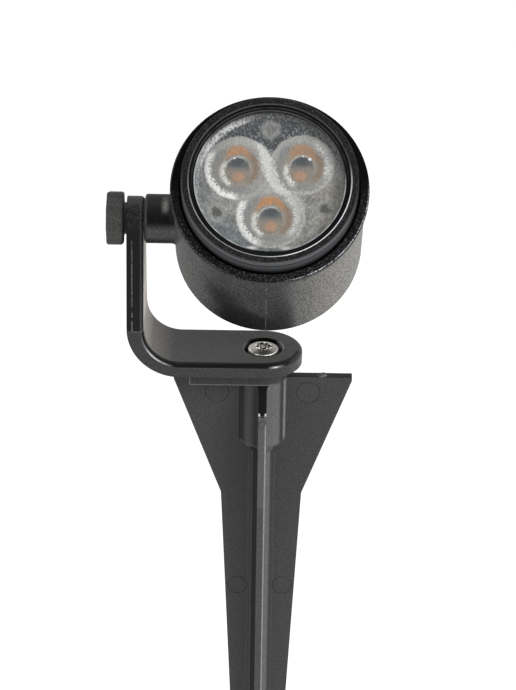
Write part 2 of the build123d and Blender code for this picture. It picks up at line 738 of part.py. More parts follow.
# ---------------------------------------------------------------- cable gland
with BuildPart() as gland_body:
    with BuildSketch(head.offset(REAR)):
        RegularPolygon(GLAND_FLATS / 2, 6, major_radius=False)
    extrude(amount=-GLAND_FLANGE)
    with BuildSketch(head.offset(REAR)):
        Circle(GLAND_THREAD_R)
    extrude(amount=CAVITY_FLOOR - REAR + LOCKNUT_THICK)
    with BuildSketch(head.offset(REAR - GLAND_FLANGE)):
        Circle(GLAND_NECK_R)
    extrude(amount=GLAND_NECK_END - REAR + GLAND_FLANGE)
    with BuildSketch(head.offset(CAVITY_FLOOR + LOCKNUT_THICK)):
        Circle(GLAND_BORE_R)
    extrude(amount=GLAND_NECK_END - CAVITY_FLOOR - LOCKNUT_THICK, mode=Mode.SUBTRACT)
    with BuildSketch(head.offset(SEAL_START)):
        Circle(SEAL_R)
    extrude(amount=GLAND_NECK_END - SEAL_START, mode=Mode.SUBTRACT)
finish(gland_body.part, "gland_body")

with BuildPart() as gland_locknut:
    with BuildSketch(head.offset(CAVITY_FLOOR)):
        RegularPolygon(GLAND_FLATS / 2, 6, major_radius=False)
        Circle(GLAND_THREAD_R, mode=Mode.SUBTRACT)
    extrude(amount=LOCKNUT_THICK)
finish(gland_locknut.part, "gland_locknut")

with BuildPart() as gland_seal:
    with BuildSketch(head.offset(SEAL_START)):
        Circle(SEAL_R)
        Circle(GLAND_BORE_R, mode=Mode.SUBTRACT)
    extrude(amount=SEAL_END - SEAL_START)
finish(gland_seal.part, "gland_seal")

with BuildPart() as gland_cap:
    with BuildSketch(head.offset(CAP_SKIRT)):
        RegularPolygon(CAP_FLATS / 2, 6, major_radius=False)
    with BuildSketch(head.offset(CAP_SHOULDER)):
        RegularPolygon(CAP_FLATS / 2, 6, major_radius=False)
    loft(ruled=True)
    with BuildSketch(head.offset(CAP_SHOULDER)):
        Circle(CAP_FLATS / 2)
    with BuildSketch(head.offset(CAP_BACK)):
        Circle(CAP_DOME_R)
    loft(ruled=True)
    with BuildSketch(head.offset(CAP_SKIRT)):
        Circle(GLAND_NECK_R)
    extrude(amount=GLAND_NECK_END - CAP_SKIRT, mode=Mode.SUBTRACT)
    with BuildSketch(head.offset(GLAND_NECK_END)):
        Circle(SEAL_R)
    extrude(amount=SEAL_END - GLAND_NECK_END, mode=Mode.SUBTRACT)
    with BuildSketch(head.offset(SEAL_END)):
        Circle(GLAND_BORE_R)
    extrude(amount=CAP_BACK - SEAL_END, mode=Mode.SUBTRACT)
finish(gland_cap.part, "gland_cap")
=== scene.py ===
import json
from collections import namedtuple
from math import cos, pi, radians, sin

import bmesh
import bpy
from mathutils import Matrix, Vector


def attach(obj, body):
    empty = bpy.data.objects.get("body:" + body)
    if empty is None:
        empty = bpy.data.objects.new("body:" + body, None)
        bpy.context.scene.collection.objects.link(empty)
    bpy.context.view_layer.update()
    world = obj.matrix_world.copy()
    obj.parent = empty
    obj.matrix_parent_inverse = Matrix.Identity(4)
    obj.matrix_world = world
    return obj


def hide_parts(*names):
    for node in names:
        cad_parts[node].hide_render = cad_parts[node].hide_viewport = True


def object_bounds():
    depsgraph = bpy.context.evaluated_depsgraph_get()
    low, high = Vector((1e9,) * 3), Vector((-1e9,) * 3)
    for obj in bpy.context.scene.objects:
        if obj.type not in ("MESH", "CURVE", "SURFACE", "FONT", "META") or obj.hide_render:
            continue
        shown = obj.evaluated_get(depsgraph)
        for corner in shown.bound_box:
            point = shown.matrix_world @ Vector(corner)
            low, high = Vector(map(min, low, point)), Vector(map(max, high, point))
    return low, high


# Looks of the garden spike spotlight. Metres, in the part's own frame: the origin is on the
# spike's axis at the ground line, +Z is up, and the light looks towards -Y and up. Inside a
# material, places are in millimetres, and greys and most colours go from 0 to 255.
MM = 0.001

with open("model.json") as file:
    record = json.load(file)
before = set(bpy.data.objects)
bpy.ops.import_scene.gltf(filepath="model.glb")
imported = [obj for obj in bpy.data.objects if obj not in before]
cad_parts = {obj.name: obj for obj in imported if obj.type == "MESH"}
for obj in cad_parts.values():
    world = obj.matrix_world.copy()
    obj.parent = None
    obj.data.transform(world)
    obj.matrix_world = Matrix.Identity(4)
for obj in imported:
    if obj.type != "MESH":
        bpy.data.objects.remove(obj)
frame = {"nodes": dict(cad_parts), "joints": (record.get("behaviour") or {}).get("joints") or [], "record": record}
cad_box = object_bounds()
nodes = frame["nodes"]

# -------------------------------- the head's frame
# The cable inlet lies on the light's axis and points backwards, so it gives the aim.
inlet = next(m for m in frame["record"]["mounts"] if m["name"] == "cable_inlet")
tilt = next(j for j in frame["joints"] if j["name"] == "head_tilt")
AIM = -Vector(inlet["axis"]).normalized()
PIVOT = Vector((inlet["pos_m"][0], 0, tilt["pos_m"][2]))
PIVOT_UP = PIVOT.z / MM
HEAD_TURN = Vector((0, 0, 1)).angle(AIM)
HEAD_MATRIX = Matrix.Translation(PIVOT) @ Matrix.Rotation(HEAD_TURN, 4, "X")

# places on the light, in mm from the pivot along its axis, or from the axis
BOARD_TOP = 14.1
OPTIC_BACK = 22.7
OPTIC_FRONT = 23.9
OPTIC_R = 19.45
CELL_BACK = 15.5
CELL_TOP = 23.93
CELL_RING_R = 9.2
CELL_HOLE_R = 7.93
POST_RING_R = 14.8
POST_R = 2.0


# -------------------------------- node helpers
class Nodes:
    """Short ways to add nodes to a tree and to join them."""

    def __init__(self, tree):
        self.tree = tree

    def add(self, kind, **settings):
        node = self.tree.nodes.new(kind)
        for key, value in settings.items():
            setattr(node, key, value)
        return node

    def feed(self, socket, value):
        """Links an output to a socket, or sets the socket to a plain value."""
        if isinstance(value, bpy.types.NodeSocket):
            self.tree.links.new(value, socket)
        elif socket.type == "RGBA" and len(value) == 3:
            socket.default_value = (*value, 1)
        else:
            socket.default_value = value

    def math(self, operation, a, b=0.0):
        node = self.add("ShaderNodeMath", operation=operation)
        self.feed(node.inputs[0], a)
        self.feed(node.inputs[1], b)
        return node.outputs[0]

    def mul(self, first, *others):
        for other in others:
            first = self.math("MULTIPLY", first, other)
        return first

    def plus(self, first, *others):
        for other in others:
            first = self.math("ADD", first, other)
        return first

    def minus(self, a, b):
        return self.math("SUBTRACT", a, b)

    def blend(self, factor, a, b):
        """A number between a and b."""
        node = self.add("ShaderNodeMix", data_type="FLOAT")
        self.feed(node.inputs[0], factor)
        self.feed(node.inputs[2], a)
        self.feed(node.inputs[3], b)
        return node.outputs[0]

    def seen(self):
        """1 for rays from the camera, off a mirror or through glass."""
        rays = self.add("ShaderNodeLightPath").outputs
        direct = self.math("MAXIMUM", rays["Is Camera Ray"], rays["Is Glossy Ray"])
        return self.math("MAXIMUM", direct, rays["Is Transmission Ray"])


class Shader(Nodes):
    """A material, with masks and noises for it."""

    def __init__(self, name):
        self.material = bpy.data.materials.new(name)
        self.material.use_nodes = True
        super().__init__(self.material.node_tree)
        self.bsdf = self.tree.nodes["Principled BSDF"]
        self.place = self.add("ShaderNodeTexCoord").outputs["Object"]

    def set(self, **sockets):
        """Feeds the shader's own sockets: base_color becomes Base Color."""
        names = {s.name.lower().replace(" ", "_"): s for s in self.bsdf.inputs}
        for key, value in sockets.items():
            self.feed(names[key], value)

    # masks
    def rise(self, value, low, high):
        """0 below low, 1 above high, smooth between."""
        node = self.add("ShaderNodeMapRange", interpolation_type="SMOOTHSTEP")
        self.feed(node.inputs["Value"], value)
        self.feed(node.inputs["From Min"], low)
        self.feed(node.inputs["From Max"], high)
        return node.outputs["Result"]

    def fall(self, value, low, high):
        return self.minus(1.0, self.rise(value, low, high))

    def beyond(self, value, edge, soft):
        """1 above an edge that is soft on both its sides."""
        return self.rise(value, edge - soft, edge + soft)

    def within(self, value, edge, soft):
        """1 below such an edge."""
        return self.fall(value, edge - soft, edge + soft)

    def band(self, value, low, high, soft):
        """1 between low and high, with soft sides."""
        return self.mul(self.beyond(value, low, soft), self.within(value, high, soft))

    def stripe(self, value, centre, half, soft):
        """1 within half of a centre, with soft sides."""
        return self.band(value, centre - half, centre + half, soft)

    def radius(self, x, y):
        return self.math("SQRT", self.plus(self.mul(x, x), self.mul(y, y)))

    def distance(self, x, y, point):
        return self.radius(self.minus(x, point[0]), self.minus(y, point[1]))

    def toward(self, x, y, r, degrees):
        """Cosine of the angle between a place and a direction round the axis."""
        along_x, along_y = polar(1.0, degrees)
        along = self.plus(self.mul(x, along_x), self.mul(y, along_y))
        return self.math("DIVIDE", along, r)

    def sector(self, x, y, r, degrees, half, soft):
        """1 within half degrees of a direction, 0 beyond half + soft."""
        edge = cos(radians(min(half + soft, 180)))
        return self.rise(self.toward(x, y, r, degrees), edge, cos(radians(half)))

    # noises
    def noise(self, size, detail=2.0, roughness=0.5, stretch=(1, 1, 1), seed=0.0, place=None):
        """Smooth noise from 0 to 1 whose grains are about size metres."""
        mapping = self.add("ShaderNodeMapping")
        self.feed(mapping.inputs["Vector"], place or self.place)
        mapping.inputs["Location"].default_value = (seed, seed, seed)
        mapping.inputs["Rotation"].default_value = (0.5, 0.35, 0.8)
        mapping.inputs["Scale"].default_value = stretch
        node = self.add("ShaderNodeTexNoise")
        self.feed(node.inputs["Vector"], mapping.outputs[0])
        node.inputs["Scale"].default_value = 1 / size
        node.inputs["Detail"].default_value = detail
        node.inputs["Roughness"].default_value = roughness
        return node.outputs["Fac"]

    def speckle(self, size, seed=0.0, stretch=(1, 1, 1)):
        """Grains of full contrast, about size metres across."""
        return self.rise(self.noise(size, detail=1, stretch=stretch, seed=seed), 0.30, 0.70)

    def sparkle(self, seed):
        """A few light grains on a dark ground."""
        return self.rise(self.noise(0.34 * MM, detail=1, seed=seed), 0.52, 0.70)

    def spread(self, value, centre, gain):
        """Noise around 0.5 turned into a factor around centre."""
        return self.plus(self.mul(self.minus(value, 0.5), gain), centre)

    # shades and colours
    def mix(self, factor, a, b):
        node = self.add("ShaderNodeMix", data_type="RGBA")
        self.feed(node.inputs["Factor"], factor)
        self.feed(node.inputs[6], a)
        self.feed(node.inputs[7], b)
        return node.outputs[2]

    def brighten(self, colour, amount):
        """A colour times a number from the nodes."""
        node = self.add("ShaderNodeVectorMath", operation="SCALE")
        self.feed(node.inputs[0], colour)
        self.feed(node.inputs["Scale"], amount)
        return node.outputs[0]

    def lay(self, under, mask, shown, cover=1.0):
        """Covers a shade with a grey, or a colour with a colour, where the mask is 1."""
        if cover < 1.0:
            mask = self.mul(mask, cover)
        if isinstance(shown, tuple):
            return self.mix(mask, under, srgb(*shown))
        return self.blend(mask, under, tone(shown))

    # places
    def split(self, place):
        node = self.add("ShaderNodeSeparateXYZ")
        self.feed(node.inputs[0], place)
        return node.outputs[0], node.outputs[1], node.outputs[2]

    def millimetres(self):
        """Place in the object's own frame, in mm."""
        return self.brighten(self.place, 1 / MM)

    def head_place(self):
        """Place in the head's frame, in mm: x to the right, y up the face, z along the aim."""
        mapping = self.add("ShaderNodeMapping", vector_type="TEXTURE")
        self.feed(mapping.inputs["Vector"], self.place)
        mapping.inputs["Location"].default_value = PIVOT
        mapping.inputs["Rotation"].default_value = (HEAD_TURN, 0, 0)
        mapping.inputs["Scale"].default_value = (MM, MM, MM)
        return mapping.outputs[0]

    # relief
    def bevel(self, radius):
        node = self.add("ShaderNodeBevel", samples=6)
        node.inputs["Radius"].default_value = radius
        return node.outputs[0]

    def bump(self, height, distance, strength=1.0, normal=None):
        node = self.add("ShaderNodeBump")
        self.feed(node.inputs["Height"], height)
        node.inputs["Distance"].default_value = distance
        node.inputs["Strength"].default_value = strength
        if normal is not None:
            self.feed(node.inputs["Normal"], normal)
        return node.outputs[0]


def polar(r, degrees):
    """A point at a radius, in a direction."""
    return r * cos(radians(degrees)), r * sin(radians(degrees))


def tone(grey):
    """Base colour, as a number, that this studio shows as a grey from 0 to 255."""
    return max((grey / 255) ** 2.2 - 0.008, 0.001) / 0.85


def srgb(red, green, blue):
    """Base colour that this studio shows as a colour given from 0 to 255."""
    return tuple(max((level / 255) ** 2.2 - 0.05, 0.003) / 0.95 for level in (red, green, blue))


def warm_grey(level):
    return level, level, level - 3


def dress(shader, *names):
    """Gives CAD nodes their finished material, in the objects' own slots."""
    for name in names:
        for material_slot in nodes[name].material_slots:
            material_slot.link = "OBJECT"
            material_slot.material = shader.material


# -------------------------------- black plastics and paints
def spike_plastic():
    """Satin black moulded plastic: fine grain, and the lighter and darker sides of its ribs."""
    core_r = 3.0
    boss_r, boss_foot, shoulder_foot = 6.0, -18.9, -22.7
    fin_half, fin_reach, fin_top, fin_slope, fin_kink = 1.0, 5.75, -0.5, 1.065, -35.3
    mark_up, gate_x = -9.0, 15.8
    wing_half, wing_top, wing_taper = 23.4, -1.0, 0.3652
    s = Shader("spike_plastic")
    grain = s.noise(0.34 * MM, detail=3, roughness=0.6)
    cloud = s.noise(14 * MM, detail=2, seed=3.0)
    x, y, z = s.split(s.millimetres())
    side = s.math("ABSOLUTE", x)
    deep = s.math("ABSOLUTE", y)
    proud = s.rise(deep, 1.35, 1.75)
    shade = s.blend(s.fall(z, -60.0, -20.0), 0.92 * tone(76), 1.06 * tone(76))

    # round core and screw boss, light and shade painted on: lighter on the right as if lit from there, a painted
    # shadow along the root on the left, and painted highlights on the boss's right side, its shoulder and the
    # shoulder's foot
    core = s.mul(proud, s.within(side, core_r, 0.1))
    shade = s.blend(core, shade, s.blend(s.rise(x, 0.9, 1.2), tone(42), tone(107)))
    boss = s.mul(proud, s.within(side, boss_r, 0.1), s.rise(z, boss_foot, boss_foot + 0.2))
    left = s.blend(s.band(x, -4.8, -2.6, 0.9), tone(52), tone(78))
    right = s.blend(s.band(x, 1.1, 4.6, 0.35), tone(68), tone(104))
    shade = s.blend(boss, shade, s.blend(s.beyond(x, 0.0, 0.2), left, right))
    core_root = s.mul(s.band(x, -core_r, 0.4 - core_r, 0.2), proud)
    boss_root = s.mul(s.band(x, -boss_r - 0.3, 0.25 - boss_r, 0.25), s.rise(deep, 1.255, 1.33))
    # painted shadow along the root of the core and the boss
    root_shadow = s.blend(s.rise(z, boss_foot - 0.5, boss_foot), core_root, boss_root)
    shade = s.lay(shade, root_shadow, 33)
    # painted highlight on the boss's right side
    glint = s.mul(s.band(x, boss_r - 0.45, boss_r + 0.25, 0.3), s.rise(deep, 1.26, 1.4))
    glint = s.mul(glint, s.rise(z, boss_foot - 0.3, boss_foot + 1.4))
    shade = s.lay(shade, glint, 132, cover=0.9)
    # painted highlight at the shoulder's foot
    foot_highlight = s.mul(s.band(side, core_r + 0.2, core_r + 0.6, 0.2), s.within(z, shoulder_foot, 0.3))
    shade = s.lay(shade, foot_highlight, 92, cover=0.55)
    # painted highlight round the boss's shoulder
    shoulder = s.mul(s.band(z, boss_foot - 0.25, boss_foot + 0.15, 0.15), proud)
    shoulder = s.mul(shoulder, s.fall(side, boss_r, boss_r + 0.6))
    shade = s.lay(shade, shoulder, 100, cover=0.8)

    # fins: front edge painted lighter, a painted highlight on its arris, and painted shade on the slanting top
    fin = s.mul(s.fall(side, fin_half, fin_half + 0.12), s.rise(deep, 3.6, 4.2))
    below_kink = s.fall(z, fin_kink, fin_kink + 0.3)
    shade = s.blend(fin, shade, s.blend(below_kink, tone(93), tone(82)))
    arris = s.mul(fin, s.band(x, fin_half - 0.28, fin_half + 0.3, 0.12), s.fall(z, -9.5, -8.5))
    shade = s.lay(shade, arris, 154)
    above_top = s.plus(s.minus(z, fin_top), s.mul(s.minus(deep, fin_reach), fin_slope))
    flare = s.mul(s.rise(z, -6.0, fin_top), 0.45)
    # painted shade on the fin's slanting top
    slope_shade = s.mul(s.rise(above_top, -0.35, -0.15), s.rise(deep, fin_reach - 0.25, fin_reach + 0.05))
    slope_shade = s.mul(slope_shade, s.fall(s.minus(side, flare), fin_half + 0.15, fin_half + 0.4))
    shade = s.lay(shade, slope_shade, 24)

    # the small ring and box on the front fin, with painted light lines on the box's sides, and painted highlights
    # at the bright corners over them
    box = s.mul(fin, s.band(z, -7.8, -6.5, 0.1))
    shade = s.lay(shade, s.mul(box, s.band(z, -6.9, -6.6, 0.1)), 35)
    # painted light lines on the box's sides
    shade = s.lay(shade, s.mul(box, s.band(side, 0.6, 0.85, 0.1), s.rise(z, -7.4, -6.6)), 140)
    ring_r = s.distance(x, z, (0.0, mark_up))
    shade = s.lay(shade, s.mul(fin, s.band(ring_r, 0.78, 0.95, 0.08)), 42, cover=0.8)
    corner = s.distance(side, z, (fin_half - 0.05, -6.15))
    # painted highlights at the corners
    shade = s.lay(shade, s.mul(s.fall(corner, 0.2, 0.5), s.rise(deep, 10.6, 10.8)), 215)

    # upper faces of the wings, painted dark as shade under the bracket, with a painted light line along the back
    # edge, and light specks at the gate
    top = s.rise(z, -0.06, -0.02)
    shade = s.lay(shade, top, 24)
    # painted light line along the back edge of the upper faces
    shade = s.lay(shade, s.mul(top, s.band(y, 1.02, 1.3, 0.08)), 70, cover=0.7)
    near_gate = s.mul(s.fall(s.distance(x, y, (gate_x, 0.0)), 1.1, 1.7), s.rise(z, -0.3, 0.0))
    # light specks at the gate
    speck_noise = s.rise(s.noise(0.9 * MM, detail=0, seed=8.0), 0.46, 0.72)
    shade = s.lay(shade, s.mul(near_gate, speck_noise), 118)

    # the wings' cut edges catch a thin light
    wing_r = s.plus(wing_half, s.mul(s.minus(z, wing_top), wing_taper))
    edge = s.mul(s.rise(s.minus(side, wing_r), -0.3, -0.1), s.band(z, fin_kink - 0.2, wing_top, 0.2))
    shade = s.lay(shade, edge, 110, cover=0.55)

    shade = s.mul(shade, s.spread(s.speckle(0.40 * MM), 1.0, 0.36))
    shade = s.plus(shade, s.mul(s.minus(cloud, 0.5), 0.008))
    s.set(
        base_color=s.brighten((1.0, 1.0, 1.005), shade),
        roughness=s.spread(grain, 0.50, 0.14),
        specular_ior_level=0.16,
        normal=s.bump(grain, 0.016 * MM, 0.5, s.bevel(0.22 * MM)),
    )
    return s


def bracket_paint():
    """Smooth black paint over a cast bracket, with a parting line down the arm's front."""
    foot_top, arm_inner, bend_r = 8.0, -30.7, 9.3
    bend_x, bend_z = arm_inner + bend_r, foot_top + bend_r
    margin_r, bore_r, parting_x, eye_top = 8.65, 5.36, -33.7, 49.9
    pad_top, pad_end = 4.2, -19.0
    s = Shader("bracket_paint")
    grain = s.noise(0.32 * MM, detail=3, roughness=0.6)
    ripple = s.noise(1.6 * MM, detail=2, seed=1.0)
    speck_noise = s.noise(0.40 * MM, detail=1, seed=9.0)
    x, y, z = s.split(s.millimetres())
    deep = s.math("ABSOLUTE", y)
    leftward = s.minus(bend_x, x)
    downward = s.minus(bend_z, z)
    from_bend = s.radius(leftward, downward)
    in_bend = s.mul(s.beyond(leftward, 0.0, 0.1), s.beyond(downward, 0.0, 0.1))
    steep = s.math("DIVIDE", leftward, from_bend)

    # sides of the foot and the bend, painted lighter towards the right
    shade = s.blend(s.rise(x, 6.0, 9.0), tone(69), tone(84))
    # the upper side: foot, then the inner bend and the arm's inner face, with painted light, lighter as they rise
    climbing = s.beyond(z, bend_z, 0.1)
    lying = s.minus(1.0, climbing)
    upper = s.blend(s.rise(x, 0.0, 9.0), tone(79), tone(73))
    bend_light = s.blend(s.rise(steep, 0.10, 0.80), tone(79), tone(114))
    bend_light = s.lay(bend_light, s.rise(steep, 0.75, 1.0), 168)
    upper = s.blend(in_bend, upper, bend_light)
    upper = s.blend(climbing, upper, s.blend(s.rise(z, bend_z, 25.0), tone(186), tone(244)))
    # how far a place lies below the upper side
    depth = s.blend(in_bend, s.minus(foot_top, z), s.minus(from_bend, bend_r))
    depth = s.blend(climbing, depth, s.minus(arm_inner, x))
    on_top = s.fall(depth, 0.04, 0.12)
    shade = s.blend(on_top, shade, upper)

    # the rounded edge between the upper side and the front: painted dark as shade, with painted highlights: a
    # streak in the bend, a glint on the foot's right end, and light lines along the edge
    rounded = s.band(depth, 0.12, 0.92, 0.06)
    foot_part = s.mul(rounded, lying)
    shade = s.lay(shade, foot_part, 24)
    out = s.blend(s.beyond(x, 0.0, 0.1), deep, s.radius(x, y))
    margin = s.mul(on_top, s.beyond(out, margin_r, 0.15), s.fall(y, -3.0, 0.0), lying)
    shade = s.lay(shade, margin, 28)
    arm_edge = s.blend(s.rise(depth, 0.25, 0.45), tone(26), tone(72))
    shade = s.blend(s.mul(rounded, climbing), shade, arm_edge)
    streak = s.mul(in_bend, s.band(depth, 0.5, 0.85, 0.12), s.band(steep, 0.30, 0.93, 0.18))
    streak = s.mul(streak, s.blend(s.band(steep, 0.55, 0.85, 0.1), 0.5, 1.0))
    shade = s.lay(shade, streak, 214)
    # painted glint on the foot's right end
    glint = s.mul(s.band(depth, 0.5, 0.95, 0.15), s.band(x, 2.2, 4.6, 1.2), s.fall(y, 0.0, 1.0))
    glint = s.mul(glint, s.blend(s.rise(ripple, 0.35, 0.65), 0.45, 1.0), lying)
    shade = s.lay(shade, glint, 205)
    shade = s.lay(shade, s.mul(foot_part, s.rise(x, 6.0, 8.0)), 70, cover=0.7)
    # painted light line below the rounded edge
    line = s.mul(s.band(depth, 0.9, 1.08, 0.06), lying, s.rise(deep, 6.0, 8.0))
    shade = s.lay(shade, line, 88, cover=0.5)

    # the arm's front above the bend is painted darker as shade, with the parting line, a painted light line at a
    # small step, light specks near the eye and a painted light line at its top
    upright = s.mul(s.rise(z, bend_z + 0.05, bend_z + 0.2), s.rise(depth, 0.95, 1.05))
    shade = s.lay(shade, upright, 40)
    parting = s.mul(s.stripe(x, parting_x, 0.15, 0.1), upright)
    parting = s.mul(parting, s.fall(z, 40.0, 42.0), s.rise(ripple, 0.28, 0.50))
    shade = s.lay(shade, parting, 118, cover=0.85)
    # painted light line at the small step
    step = s.mul(s.band(z, bend_z - 0.25, bend_z + 0.05, 0.08), s.band(x, -34.6, -31.8, 0.2))
    shade = s.lay(shade, step, 92, cover=0.7)
    eye = s.mul(s.rise(z, 43.0, 46.0), s.rise(depth, 0.3, 0.5))
    # light specks near the eye
    shade = s.lay(shade, s.mul(eye, s.rise(speck_noise, 0.42, 0.70)), 68)
    shade = s.lay(shade, s.mul(s.beyond(z, eye_top, 0.3), s.band(x, -34.8, -31.0, 0.2)), 58)

    # the pad under the foot shows a painted light line along its outline; the counterbore is painted dark as
    # shade, with painted light on its side walls
    outline = s.math("MAXIMUM", s.fall(z, 0.22, 0.32), s.fall(x, pad_end, pad_end + 0.15))
    outline = s.mul(s.fall(z, pad_top, pad_top + 0.05), outline, s.fall(x, 2.0, 4.0))
    shade = s.lay(shade, outline, 112)
    sunk = s.mul(s.within(s.radius(x, y), bore_r, 0.04), s.rise(z, pad_top + 0.2, pad_top + 0.4))
    wall = s.rise(s.math("ABSOLUTE", x), 3.2, 4.9)
    lit_wall = s.blend(s.beyond(x, 0.0, 1.0), tone(110), tone(150))
    shade = s.blend(sunk, shade, s.blend(wall, tone(22), lit_wall))

    shade = s.mul(shade, s.spread(s.speckle(0.40 * MM, seed=2.0), 1.0, 0.46))
    # colour: warm on the upper side where light is painted, warmer on the bend and the arm's inner face; cool on
    # the front
    lifted = s.math("MAXIMUM", climbing, s.mul(in_bend, s.rise(steep, 0.2, 1.0)))
    colour = s.mix(on_top, (0.985, 1.0, 1.03), (1.0, 0.98, 0.955))
    colour = s.mix(s.mul(on_top, lifted), colour, (1.0, 0.925, 0.815))
    height = s.mul(s.plus(grain, ripple), 0.6)
    s.set(
        base_color=s.brighten(colour, shade),
        roughness=s.spread(grain, 0.42, 0.12),
        specular_ior_level=0.14,
        normal=s.bump(height, 0.014 * MM, 0.5, s.bevel(0.2 * MM)),
    )
    return s


def housing_paint():
    """Fine-textured black powder coat, with a faint mould line down the underside, and light and shade painted
    round the side, the rim and the spigot.
    """
    rim_back, rim_face, rim_r, groove_r = 20.0, 21.55, 24.3, 22.5
    spigot_root, spigot_end, spigot_r = -22.8, -29.9, 8.1
    s = Shader("housing_paint")
    x, y, z = s.split(s.head_place())
    r = s.radius(x, y)
    grain = s.noise(0.36 * MM, detail=3, roughness=0.65)
    coarse = s.noise(1.1 * MM, detail=2, seed=2.0)

    # round side, light and shade painted on: bright to the right, darkest low on the left towards the rear
    shade = s.blend(s.sector(x, y, r, 336, 46, 14), tone(75), tone(106))
    shade = s.lay(shade, s.sector(x, y, r, 352, 30, 34), 129)
    shade = s.lay(shade, s.sector(x, y, r, 198, 24, 22), 91)
    rear = s.fall(z, 1.0, 12.0)
    turned = s.mul(s.fall(z, -11.0, 3.0), 0.30)
    lean = s.plus(s.toward(x, y, r, 241), s.mul(turned, s.toward(x, y, r, 331)))
    shade = s.lay(shade, s.mul(s.rise(lean, 0.952, 1.022), rear), 46)
    dip = s.rise(s.plus(s.toward(x, y, r, 278), s.mul(z, -0.0006)), 0.985, 1.008)
    shade = s.lay(shade, s.mul(dip, rear), 54, cover=0.9)
    shade = s.lay(shade, s.sector(x, y, r, 90, 55, 40), 58)
    mould_line = s.mul(s.stripe(x, -0.44, 0.11, 0.08), s.fall(y, -20.0, -19.0))
    shade = s.lay(shade, s.mul(mould_line, s.within(z, rim_back, 0.1)), 112, cover=0.6)

    # stepped rim, light and shade painted on: a painted highlight along its outer edge, a black sparkling face,
    # lighter low down, and the groove painted lighter against its deep shade
    step = s.rise(z, rim_back, rim_back + 0.1)
    low = s.sector(x, y, r, 270, 70, 30)
    shade = s.blend(step, shade, s.blend(low, tone(10), tone(78)))
    face = s.rise(z, rim_face, rim_face + 0.15)
    face_shade = s.blend(low, tone(10), tone(40))
    shade = s.blend(face, shade, s.lay(face_shade, s.mul(low, s.sparkle(seed=5.0)), 82))
    arris = s.mul(s.band(r, rim_r - 0.04, rim_r + 0.12, 0.08), face)
    broken = s.rise(s.noise(0.6 * MM, detail=2, seed=11.0), 0.32, 0.60)
    # painted highlight along the rim's outer edge
    shade = s.lay(shade, s.mul(arris, s.sector(x, y, r, 322, 20, 26), broken), 215, cover=0.9)
    shade = s.lay(shade, s.mul(arris, s.sector(x, y, r, 190, 45, 25)), 105, cover=0.6)
    shade = s.lay(shade, s.fall(r, groove_r, groove_r + 0.12), 80)

    # spigot, light and shade painted on: dark, lighter below, with a painted soft highlight near the rim and a
    # painted light ring at its end
    along, across, height = s.split(s.millimetres())
    up = s.minus(height, PIVOT_UP)
    spigot = s.mul(s.within(along, spigot_root, 0.4), s.within(s.radius(across, up), spigot_r, 0.5))
    barrel = s.blend(s.band(up, -3.4, 0.6, 1.2), tone(42), tone(96))
    barrel = s.lay(barrel, s.rise(up, 2.5, 5.8), 58, cover=0.7)
    spot = s.mul(s.band(along, -26.0, -24.6, 0.7), s.band(up, 4.3, 6.0, 1.2), s.fall(across, -1.5, 0.5))
    barrel = s.lay(barrel, spot, 140)
    barrel = s.lay(barrel, s.within(along, spigot_end, 0.15), 80)
    shade = s.blend(spigot, shade, barrel)

    # warm where light is painted, cool where shade is painted, cooler still on the rim's step
    tint = s.mix(s.rise(shade, 0.04, 0.22), (0.98, 0.99, 1.03), (1.0, 0.972, 0.90))
    tint = s.mix(step, tint, (0.97, 1.0, 1.06))
    speckle = s.speckle(0.46 * MM, seed=6.0)
    shade = s.mul(shade, s.spread(speckle, 1.0, s.blend(spigot, 1.25, 0.5)))
    relief = s.plus(s.mul(grain, 0.7), s.mul(coarse, 0.4))
    relief = s.mul(relief, s.blend(step, 1.0, 0.4))
    s.set(
        base_color=s.brighten(tint, shade),
        roughness=s.blend(step, s.spread(coarse, 0.45, 0.12), 0.7),
        specular_ior_level=0.05,
        normal=s.bump(relief, 0.04 * MM, 0.8, s.bevel(0.15 * MM)),
    )
    return s


